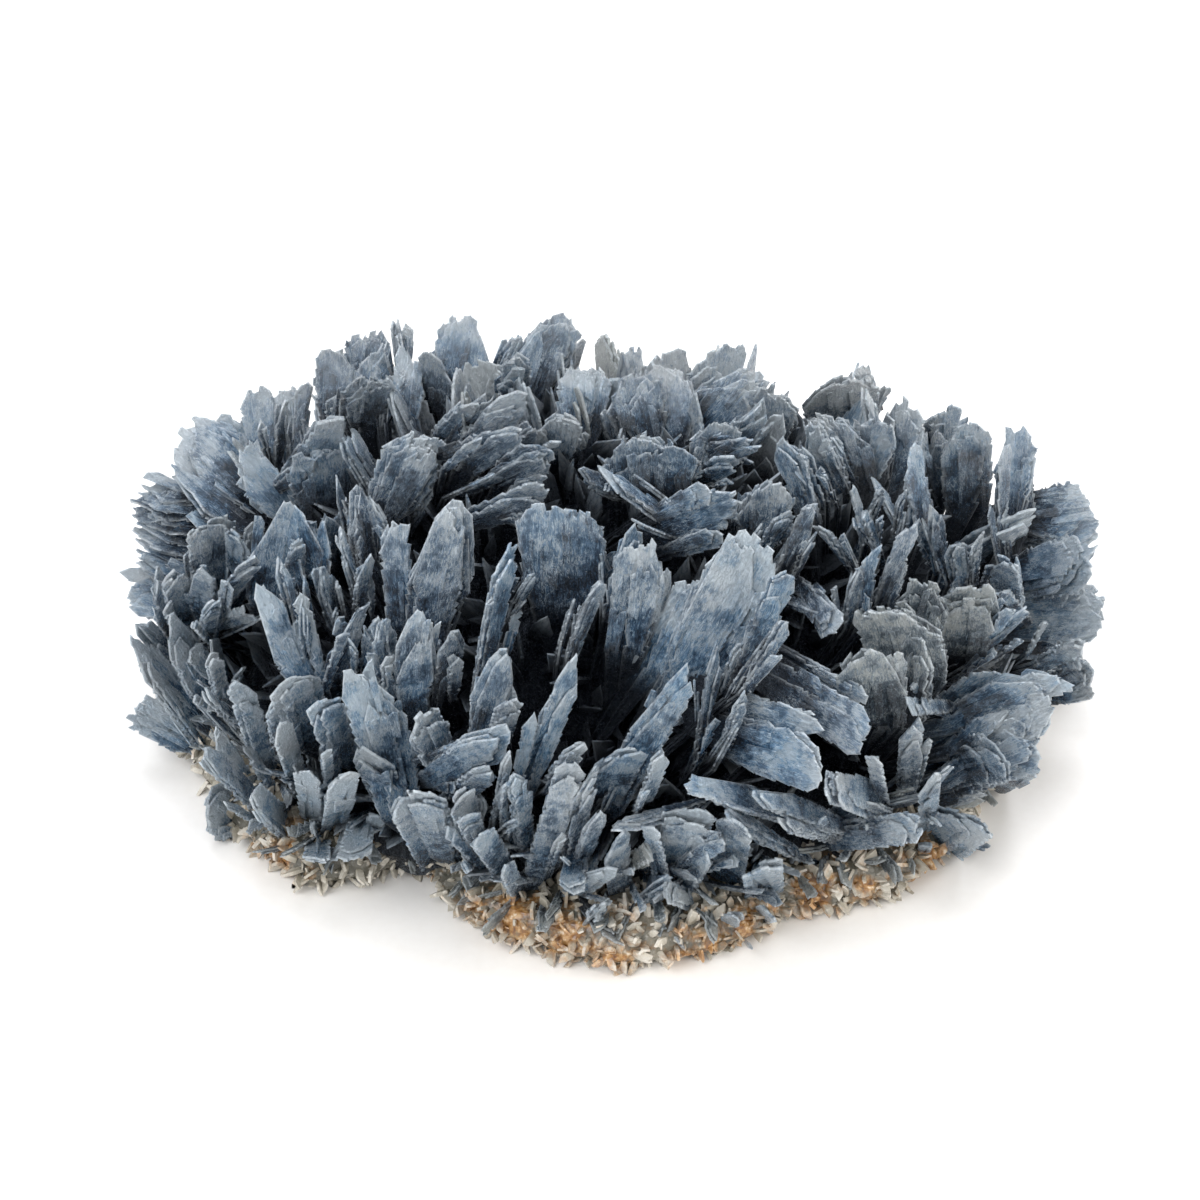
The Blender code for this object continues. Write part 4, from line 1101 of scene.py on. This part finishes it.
def barite_colour(tree, place, marks, patterns, dark):
    """The barite's own grey, blue or greenish, and over it rust near the stains, painted backlight at the
    clear thin end, frosted rims with painted highlight on them, painted glints as bright specks, and painted
    shade deep between the blades and below each blade's foot."""
    value = barite_value(tree, marks, patterns)
    grey, blue, green = (
        node(tree, "ShaderNodeValToRGB", {"stops": stops}, {"Fac": value})
        for stops in (BARITE_GREYS, BARITE_BLUES, BARITE_GREENS)
    )
    patches = node(tree, "ShaderNodeTexNoise", {}, {"Vector": place, "Scale": 120.0, "Detail": 3.0})
    bluish = node(tree, "ShaderNodeMath", {"operation": "MULTIPLY_ADD"}, {
        0: marks.tint, 1: -0.35, 2: patches,
    })
    bluish = node(tree, "ShaderNodeMapRange", {}, {
        "Value": bluish, "From Min": 0.25, "From Max": 0.60, "To Min": 0.05, "To Max": 0.85,
    })
    greenish = node(tree, "ShaderNodeMapRange", {}, {
        "Value": marks.tint, "From Min": 0.80, "From Max": 0.95, "To Min": 0.0, "To Max": 0.75,
    })
    rusty = node(tree, "ShaderNodeMath", {"operation": "MULTIPLY"}, {0: marks.stain, 1: patterns.clouds})
    rusty = node(tree, "ShaderNodeMapRange", {}, {
        "Value": rusty, "From Min": 0.15, "From Max": 0.45, "To Min": 0.0, "To Max": 0.7,
    })
    # Painted light coming through: the clear thin end made paler
    painted_backlight = node(tree, "ShaderNodeMath", {"operation": "MULTIPLY"}, {0: marks.clear, 1: 0.30})
    # Frosted rims: partly the broken edges' own white, partly painted highlight along them
    at_rim = node(tree, "ShaderNodeMapRange", {}, {
        "Value": marks.rim, "From Min": 0.0, "From Max": 1.0, "To Min": 0.0, "To Max": 0.9,
    })
    broken = node(tree, "ShaderNodeMapRange", {}, {
        "Value": patterns.fibres, "From Min": 0.38, "From Max": 0.56, "To Min": 0.15, "To Max": 1.0,
    })
    frost_and_edge_highlight = node(tree, "ShaderNodeMath", {"operation": "MULTIPLY", "use_clamp": True}, {
        0: at_rim, 1: broken,
    })
    # Painted glints: bright specks mixed into the colour
    painted_glints = node(tree, "ShaderNodeMapRange", {}, {
        "Value": patterns.specks, "From Min": 0.70, "From Max": 0.76, "To Min": 0.0, "To Max": 0.75,
    })
    # Painted shade on a blade's lower part and on its stalk below the foot
    painted_root_shade = node(tree, "ShaderNodeMapRange", {}, {
        "Value": marks.run, "From Min": 0.30, "From Max": -0.30, "To Min": 0.0, "To Max": 1.0,
    })
    depth = node(tree, "ShaderNodeMath", {"operation": "MAXIMUM"}, {0: marks.depth, 1: painted_root_shade})
    shade = node(tree, "ShaderNodeMapRange", {"interpolation_type": "SMOOTHSTEP"}, {
        "Value": depth, "From Min": 0.0, "From Max": 1.0, "To Min": dark, "To Max": 0.985,
    })
    colour = grey
    for share, over in (
        (bluish, blue), (greenish, green), (rusty, hex_colour(IRON_STAIN)), (painted_backlight, hex_colour(PAINTED_BACKLIGHT)),
        (frost_and_edge_highlight, hex_colour(FROST_AND_EDGE_HIGHLIGHT)), (painted_glints, hex_colour(PAINTED_GLINT)), (shade, hex_colour(DEEP_SHADE)),
    ):
        colour = node(tree, "ShaderNodeMix", {"data_type": "RGBA"}, {"Factor": share, "A": colour, "B": over})
    return colour


def barite_material(name, dark, transmission):
    """Blue barite, grown as tabular laminae: glassy where a face is whole, frosted white along its broken
    rims, partly as painted highlight, and clear enough at a thin end for light to come through, that light
    also painted in as a paler colour. dark is the least painted shade, laid over all that it covers, for what
    lies deep inside."""
    made, tree, shader = new_material(name)
    place = node(tree, "ShaderNodeTexCoord", {}, {}).outputs["Object"]
    grain = node(tree, "ShaderNodeUVMap", {"uv_map": "grain"}, {})
    marks = Marks(*(
        node(tree, "ShaderNodeAttribute", {"attribute_name": label}, {}).outputs["Fac"]
        for label in Marks._fields
    ))
    patterns = barite_patterns(tree, place, grain)
    colour = barite_colour(tree, place, marks, patterns, dark)
    rough = node(tree, "ShaderNodeMath", {"operation": "MULTIPLY_ADD"}, {
        0: patterns.specks, 1: 0.36, 2: 0.05,
    })
    rough = node(tree, "ShaderNodeMath", {"operation": "MULTIPLY_ADD"}, {0: marks.rim, 1: 0.15, 2: rough})
    height = node(tree, "ShaderNodeMath", {"operation": "MULTIPLY"}, {0: patterns.crest, 1: 0.35})
    for part, weight in (
        (patterns.fibres, 2.2), (patterns.scores, 1.2), (patterns.specks, 0.25), (patterns.flake, 0.7),
    ):
        height = node(tree, "ShaderNodeMath", {"operation": "MULTIPLY_ADD"}, {0: part, 1: weight, 2: height})
    bump = node(tree, "ShaderNodeBump", {}, {"Height": height, "Strength": 1.0, "Distance": 0.00034})
    for source, label in ((colour, "Base Color"), (rough, "Roughness"), (bump, "Normal")):
        tree.links.new(first_output(source), shader.inputs[label])
    shader.inputs["IOR"].default_value = 1.64
    shader.inputs["Specular IOR Level"].default_value = 0.55
    shader.inputs["Specular Tint"].default_value = hex_colour("d8e6f8")
    if transmission > 0:
        through = node(tree, "ShaderNodeMath", {"operation": "MULTIPLY"}, {0: marks.clear, 1: transmission})
        tree.links.new(through.outputs["Value"], shader.inputs["Transmission Weight"])
    return made


DRUSE_TONES = [(0.12, "25241f"), (0.32, "636157"), (0.50, "a09a8c"), (0.76, "d6d1c6")]
STAIN_TONES = [(0.32, "6b452a"), (0.48, "a8773f"), (0.66, "d3ab74")]


def druse_material():
    """Matrix under the barite: a crust of small glassy crystals, cream and grey-green, stained orange and
    brown by iron oxide that dried in its hollows."""
    made, tree, shader = new_material("iron_stained_druse")
    place = node(tree, "ShaderNodeTexCoord", {}, {}).outputs["Object"]
    tone = node(tree, "ShaderNodeAttribute", {"attribute_name": "tone"}, {}).outputs["Fac"]
    near_stain = node(tree, "ShaderNodeAttribute", {"attribute_name": "stain"}, {}).outputs["Fac"]
    run = node(tree, "ShaderNodeAttribute", {"attribute_name": "run"}, {}).outputs["Fac"]
    patches = node(tree, "ShaderNodeTexNoise", {}, {
        "Vector": place, "Scale": 95.0, "Detail": 4.0, "Roughness": 0.6,
    })
    grains = node(tree, "ShaderNodeTexNoise", {}, {"Vector": place, "Scale": 1400.0, "Detail": 3.0})
    streaks = node(tree, "ShaderNodeTexNoise", {}, {
        "Vector": place, "Scale": 330.0, "Detail": 5.0, "Roughness": 0.65,
    })
    value = node(tree, "ShaderNodeMath", {"operation": "MULTIPLY_ADD"}, {0: patches, 1: 0.9, 2: -0.22})
    # tone is each crystal's own at random, and low on the body between them, where the darkness is painted
    # shade
    value = node(tree, "ShaderNodeMath", {"operation": "MULTIPLY_ADD"}, {0: tone, 1: 0.52, 2: value})
    # run darkens each crystal towards its foot, as painted shade
    value = node(tree, "ShaderNodeMath", {"operation": "MULTIPLY_ADD"}, {0: run, 1: 0.14, 2: value})
    base = node(tree, "ShaderNodeValToRGB", {"stops": DRUSE_TONES}, {"Fac": value})
    rust = node(tree, "ShaderNodeValToRGB", {"stops": STAIN_TONES}, {"Fac": grains})
    stained = node(tree, "ShaderNodeMath", {"operation": "MULTIPLY_ADD"}, {
        0: near_stain, 1: 0.30, 2: streaks,
    })
    stained = node(tree, "ShaderNodeMapRange", {}, {
        "Value": stained, "From Min": 0.58, "From Max": 0.76, "To Max": 0.85,
    })
    bright = node(tree, "ShaderNodeMapRange", {}, {
        "Value": grains, "From Min": 0.60, "From Max": 0.72, "To Max": 0.6,
    })
    colour = node(tree, "ShaderNodeMix", {"data_type": "RGBA"}, {"Factor": stained, "A": base, "B": rust})
    colour = node(tree, "ShaderNodeMix", {"data_type": "RGBA"}, {
        "Factor": bright, "A": colour, "B": hex_colour("efebe2"),
    })
    tree.links.new(first_output(colour), shader.inputs["Base Color"])
    rough = node(tree, "ShaderNodeMapRange", {}, {
        "Value": grains, "From Min": 0.2, "From Max": 0.8, "To Min": 0.08, "To Max": 0.45,
    })
    tree.links.new(rough.outputs["Result"], shader.inputs["Roughness"])
    bump = node(tree, "ShaderNodeBump", {}, {"Height": grains, "Strength": 0.5, "Distance": 0.0003})
    tree.links.new(bump.outputs["Normal"], shader.inputs["Normal"])
    shader.inputs["IOR"].default_value = 1.6
    return made


def card_material():
    """The matt white card that the cluster stands on."""
    made, tree, shader = new_material("matt_white_card")
    place = node(tree, "ShaderNodeTexCoord", {}, {}).outputs["Object"]
    fibres = node(tree, "ShaderNodeTexNoise", {}, {"Vector": place, "Scale": 900.0, "Detail": 3.0})
    colour = node(tree, "ShaderNodeMix", {"data_type": "RGBA"}, {
        "Factor": fibres, "A": hex_colour("f3f1ee"), "B": hex_colour("f8f7f5"),
    })
    tree.links.new(first_output(colour), shader.inputs["Base Color"])
    shader.inputs["Roughness"].default_value = 0.9
    return made


# Small crystals that line a surface: one tree, for the dark spaces and for the crust

END_SLANT = 0.22
CRYSTAL_LEVELS = [(0.0, 0.85), (0.62, 1.0)]


def crystal_mesh(name, sides, thickness, taper):
    """A small crystal one unit long: a flattened prism that tapers to an end cut off at a slant."""
    growth = Growth(name)
    rings = []
    for height, size in CRYSTAL_LEVELS + [(1.0, taper)]:
        ring = []
        for i in range(sides):
            turn = 2 * math.pi * (i + 0.5) / sides
            slant = END_SLANT * math.cos(turn) * height ** 4
            at = Vector((0.5 * size * math.cos(turn), thickness * math.sin(turn) * size, height + slant))
            # run rises from a crystal's foot to its end, so the finishes darken it towards the foot as
            # painted shade
            ring.append(growth.add(at, 0.25 + 0.6 * height, height, 0.5, 0.5, 0.0, (at.x * 3, at.z * 5)))
        rings.append(ring)
    for lower, upper in zip(rings, rings[1:]):
        for i in range(sides):
            after = (i + 1) % sides
            growth.faces.append((lower[i], lower[after], upper[after], upper[i]))
    growth.faces.append(tuple(reversed(rings[0])))
    growth.faces.append(tuple(rings[-1]))
    return growth.mesh()


LINING_INPUTS = [
    ("Crystal", "NodeSocketObject"), ("Density", "NodeSocketFloat"), ("Spacing", "NodeSocketFloat"),
    ("Shortest", "NodeSocketFloat"), ("Longest", "NodeSocketFloat"), ("Slenderness", "NodeSocketFloat"),
    ("Tilt", "NodeSocketFloat"), ("Material", "NodeSocketMaterial"),
]


def lining_tree(name, seed):
    """Geometry Nodes that stand a crystal on a surface at random places, tilted and turned at random."""
    tree = bpy.data.node_groups.new(name, "GeometryNodeTree")
    tree.interface.new_socket("Geometry", in_out="INPUT", socket_type="NodeSocketGeometry")
    for label, kind in LINING_INPUTS:
        tree.interface.new_socket(label, in_out="INPUT", socket_type=kind)
    tree.interface.new_socket("Geometry", in_out="OUTPUT", socket_type="NodeSocketGeometry")
    entry = node(tree, "NodeGroupInput", {}, {}).outputs
    scattered = node(tree, "GeometryNodeDistributePointsOnFaces", {"distribute_method": "POISSON"}, {
        "Mesh": entry["Geometry"], "Distance Min": entry["Spacing"], "Density Max": entry["Density"],
        "Seed": seed,
    })
    crystal = node(tree, "GeometryNodeObjectInfo", {}, {"Object": entry["Crystal"]}).outputs["Geometry"]
    placed = node(tree, "GeometryNodeInstanceOnPoints", {}, {
        "Points": scattered, "Instance": crystal, "Rotation": scattered.outputs["Rotation"],
    })
    turn = node(tree, "FunctionNodeRandomValue", {"data_type": "FLOAT_VECTOR"}, {
        "Min": (-1.0, -1.0, -math.pi), "Max": (1.0, 1.0, math.pi), "Seed": seed + 1,
    })
    lean = node(tree, "ShaderNodeCombineXYZ", {}, {"X": entry["Tilt"], "Y": entry["Tilt"], "Z": 1.0})
    turned = node(tree, "ShaderNodeVectorMath", {"operation": "MULTIPLY"}, {0: turn.outputs[0], 1: lean})
    spun = node(tree, "GeometryNodeRotateInstances", {}, {"Instances": placed, "Rotation": turned})
    length = node(tree, "FunctionNodeRandomValue", {"data_type": "FLOAT"}, {
        "Min": entry["Shortest"], "Max": entry["Longest"], "Seed": seed + 2,
    })
    width = node(tree, "ShaderNodeMath", {"operation": "MULTIPLY"}, {
        0: length.outputs[1], 1: entry["Slenderness"],
    })
    size = node(tree, "ShaderNodeCombineXYZ", {}, {"X": width, "Y": width, "Z": length.outputs[1]})
    sized = node(tree, "GeometryNodeScaleInstances", {}, {"Instances": spun, "Scale": size})
    tone = node(tree, "FunctionNodeRandomValue", {"data_type": "FLOAT"}, {"Seed": seed + 3})
    toned = node(tree, "GeometryNodeStoreNamedAttribute", {"data_type": "FLOAT", "domain": "INSTANCE"}, {
        "Geometry": sized, "Name": "tone", "Value": tone.outputs[1],
    })
    real = node(tree, "GeometryNodeRealizeInstances", {}, {"Geometry": toned})
    finished = node(tree, "GeometryNodeSetMaterial", {}, {"Geometry": real, "Material": entry["Material"]})
    node(tree, "NodeGroupOutput", {}, {"Geometry": finished})
    return tree


def lined(name, surface, lowest, tree, settings):
    """The crystals that a lining tree stands on a surface above a height, as a plain mesh of their own."""
    bm = bmesh.new()
    bm.from_mesh(surface.data)
    under = [face for face in bm.faces if face.calc_center_median().z < lowest]
    bmesh.ops.delete(bm, geom=under, context="FACES")
    mesh = bpy.data.meshes.new("lining_ground")
    bm.to_mesh(mesh)
    bm.free()
    carrier = new_object(mesh)
    growing = carrier.modifiers.new("lining", "NODES")
    growing.node_group = tree
    sockets = {item.name: item.identifier for item in tree.interface.items_tree if item.in_out == "INPUT"}
    for label, value in settings.items():
        growing[sockets[label]] = value
    bpy.context.view_layer.update()
    grown = carrier.evaluated_get(bpy.context.evaluated_depsgraph_get())
    mesh = bpy.data.meshes.new_from_object(grown)
    mesh.name = name
    bpy.data.objects.remove(carrier, do_unlink=True)
    return new_object(mesh)


# The crust

SEEN_RIM = [
    (166, 690), (184, 745), (212, 802), (252, 848), (300, 884), (352, 884), (400, 872), (436, 884),
    (478, 928), (520, 946), (562, 958), (606, 966), (655, 963), (702, 960), (742, 945), (798, 912),
    (838, 912), (880, 899), (922, 880), (956, 842), (984, 792), (1004, 740),
]
RIM_HEIGHT = 1.2 * MM
REAR_RIM_POINTS = 18
REAR_RIM_REACH = 0.90
CRUST_RINGS = [
    (0.0, 3.0 * MM), (0.4 * MM, 1.9 * MM), (1.2 * MM, 0.7 * MM), (2.2 * MM, 0.4 * MM),
    (3.2 * MM, 0.8 * MM), (4.2 * MM, 1.4 * MM), (5.0 * MM, 2.4 * MM), (5.4 * MM, 6.0 * MM),
]
CRUST_STEPS = 8


def rim_points():
    """The crust's rim on the ground: the seen front, closed by an arc round the rear."""
    front = [on_height(pixel, RIM_HEIGHT) for pixel in SEEN_RIM]
    left = front[0]
    right = front[-1]
    rear = []
    for i in range(1, REAR_RIM_POINTS + 1):
        turn = math.pi * i / (REAR_RIM_POINTS + 1)
        base = right.lerp(left, 0.5 - 0.5 * math.cos(turn))
        bulge = (REACH_BACK * REAR_RIM_REACH + HEART.y - base.y) * math.sin(turn) ** 0.7
        rear.append(Vector((base.x, base.y + bulge, RIM_HEIGHT)))
    return front + rear


def smoothed_rim():
    """The rim with points between its own, on a curve through them."""
    rim = rim_points()
    count = len(rim)
    fine = []
    for i in range(count):
        before, here, after, beyond = (rim[(i + j) % count] for j in (-1, 0, 1, 2))
        for step in range(CRUST_STEPS):
            t = step / CRUST_STEPS
            fine.append(0.5 * (
                2 * here + (after - before) * t + (2 * before - 5 * here + 4 * after - beyond) * t ** 2
                + (3 * here - before - 3 * after + beyond) * t ** 3
            ))
    return fine


def crust_mesh():
    """The body of the crust: rings from its flat underside up over its lumpy side to its top."""
    growth = Growth("matrix_druse")
    rim = smoothed_rim()
    count = len(rim)
    rings = []
    for number, (height, inset_by) in enumerate(CRUST_RINGS):
        ring = []
        for i in range(count):
            run = rim[(i + 3) % count] - rim[i - 3]
            inwards = Vector((-run.y, run.x, 0)).normalized()
            at = rim[i] + inset_by * inwards
            at.z = height
            if number:
                lump = noise.noise(at / (4.5 * MM)) * 0.9 + noise.noise(at / (1.6 * MM)) * 0.45
                at -= inwards * lump * MM
                at.z = max(0.25 * MM, at.z + 0.4 * MM * noise.noise(at / (2.2 * MM) + Vector((9, 4, 1))))
            # The body's low tone darkens it between the crystals, as painted shade
            ring.append(growth.add(at, 0.3, 0.0, 0.1, 0.5, 0.0, (at.x / MM, at.y / MM)))
        rings.append(ring)
    for lower, upper in zip(rings, rings[1:]):
        for i in range(count):
            after = (i + 1) % count
            growth.faces.append((lower[i], lower[after], upper[after], upper[i]))
    growth.faces.append(tuple(reversed(rings[0])))
    growth.faces.append(tuple(rings[-1]))
    return growth.mesh()


# Places where iron oxide has stained the foot of the cluster, as pixels of the photograph
STAINS = [
    (285, 852), (395, 822), (484, 912), (512, 925), (560, 938), (606, 950), (640, 930), (690, 948),
    (750, 925), (815, 903), (872, 872), (930, 862),
]
STAIN_REACH = 5.5 * MM


def mark_stain_and_shade(piece):
    """Mark how deep each point of a piece lies, for the painted shade between the blades, and how near to a
    stain.
    """
    centres = [on_height(pixel, 2.5 * MM) for pixel in STAINS]
    depths = []
    amounts = []
    for vert in piece.data.vertices:
        nearest = min((vert.co - centre).length for centre in centres)
        amounts.append(max(0.0, 1.0 - nearest / STAIN_REACH))
        depths.append(depth_at(vert.co))
    for label, values in (("stain", amounts), ("depth", depths)):
        layer = piece.data.attributes.get(label) or piece.data.attributes.new(label, "FLOAT", "POINT")
        layer.data.foreach_set("value", values)


# The stage

def stage_floor():
    """A sheet of white card, far larger than the view."""
    bm = bmesh.new()
    bmesh.ops.create_grid(bm, x_segments=1, y_segments=1, size=3.0)
    mesh = bpy.data.meshes.new("white_card")
    bm.to_mesh(mesh)
    bm.free()
    floor = new_object(mesh)
    floor.data.materials.append(card_material())


def aimed(name, data, position, target):
    """An object whose -Z axis looks from a position at a target."""
    made = bpy.data.objects.new(name, data)
    made.location = position
    made.rotation_euler = (target - position).to_track_quat("-Z", "Y").to_euler()
    bpy.context.scene.collection.objects.link(made)
    return made


def soft_light(name, position, size, power, colour):
    """A square softbox that looks at the cluster."""
    data = bpy.data.lights.new(name, "AREA")
    data.shape = "SQUARE"
    data.size = size
    data.energy = power
    data.color = hex_colour(colour)[:3]
    aimed(name, data, Vector(position), HEART)


def studio():
    """Softboxes above the rear and to the front left, a dim one at the right, and pale surroundings."""
    soft_light("top_softbox", (0.05, 0.35, 0.85), 0.8, 8.6, "f8faff")
    soft_light("key_softbox", (-0.46, -0.44, 0.66), 0.7, 6.4, "ffffff")
    soft_light("fill_softbox", (0.72, -0.36, 0.46), 0.9, 6.4, "fffaf2")
    world = bpy.data.worlds.new("pale_studio")
    world.use_nodes = True
    background = world.node_tree.nodes["Background"]
    background.inputs["Color"].default_value = hex_colour("fbfbfd")
    background.inputs["Strength"].default_value = 0.46
    bpy.context.scene.world = world
    bpy.context.scene.view_settings.view_transform = "Standard"


def photo_camera():
    """The camera of the photograph: in front, looking down, with a long lens."""
    data = bpy.data.cameras.new("photo_camera")
    data.sensor_width = SENSOR
    data.lens = FOCAL_PIXELS / PHOTO_SIZE * SENSOR
    data.clip_start = 0.01
    bpy.context.scene.camera = aimed("photo_camera", data, VIEWPOINT, AIM)


def join_body(piece, material, node_name):
    """Give a piece its finish, hang it under the root, and hide the solid that it stands in for."""
    piece.data.materials.clear()
    piece.data.materials.append(material)
    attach(piece, "root")
    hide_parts(node_name)


def keep_in_box(piece):
    """Hold every point inside the box of the solid model."""
    low, high = CAD_BOX
    for vert in piece.data.vertices:
        for i in range(3):
            vert.co[i] = min(max(vert.co[i], low[i]), high[i])


def main():
    photo_camera()
    studio()
    stage_floor()
    # The second finish is the same barite with at least 0.45 of painted shade, for what lies deep inside
    blade_finish = barite_material("bladed_barite", 0.0, 0.5)
    shaded_finish = barite_material("deep_barite", 0.45, 0.0)
    druse_finish = druse_material()

    blades = blades_by_region()
    mound = new_object(mound_mesh())
    crust = new_object(crust_mesh())
    plate = new_object(crystal_mesh("plate_crystal", 6, 0.13, 0.45))
    chip = new_object(crystal_mesh("chip_crystal", 4, 0.20, 0.75))
    infill = lined("infill_crystals", mound, 6 * MM, lining_tree("space_lining", 3), {
        "Crystal": plate, "Density": 260000.0, "Spacing": 1.6 * MM, "Shortest": 3 * MM, "Longest": 8.5 * MM,
        "Slenderness": 0.42, "Tilt": 0.55, "Material": shaded_finish,
    })
    druse = lined("druse_crystals", crust, 0.6 * MM, lining_tree("crust_lining", 8), {
        "Crystal": chip, "Density": 1200000.0, "Spacing": 0.72 * MM, "Shortest": 0.7 * MM,
        "Longest": 2.1 * MM, "Slenderness": 0.85, "Tilt": 1.1, "Material": druse_finish,
    })
    bpy.data.objects.remove(plate, do_unlink=True)
    bpy.data.objects.remove(chip, do_unlink=True)

    for piece in blades:
        join_body(piece, blade_finish, "barite_blades")
    for piece in (mound, infill):
        join_body(piece, shaded_finish, "barite_blades")
    for piece in (crust, druse):
        join_body(piece, druse_finish, "matrix_crust")
    for piece in blades + [mound, infill, crust, druse]:
        mark_stain_and_shade(piece)
        keep_in_box(piece)


main()
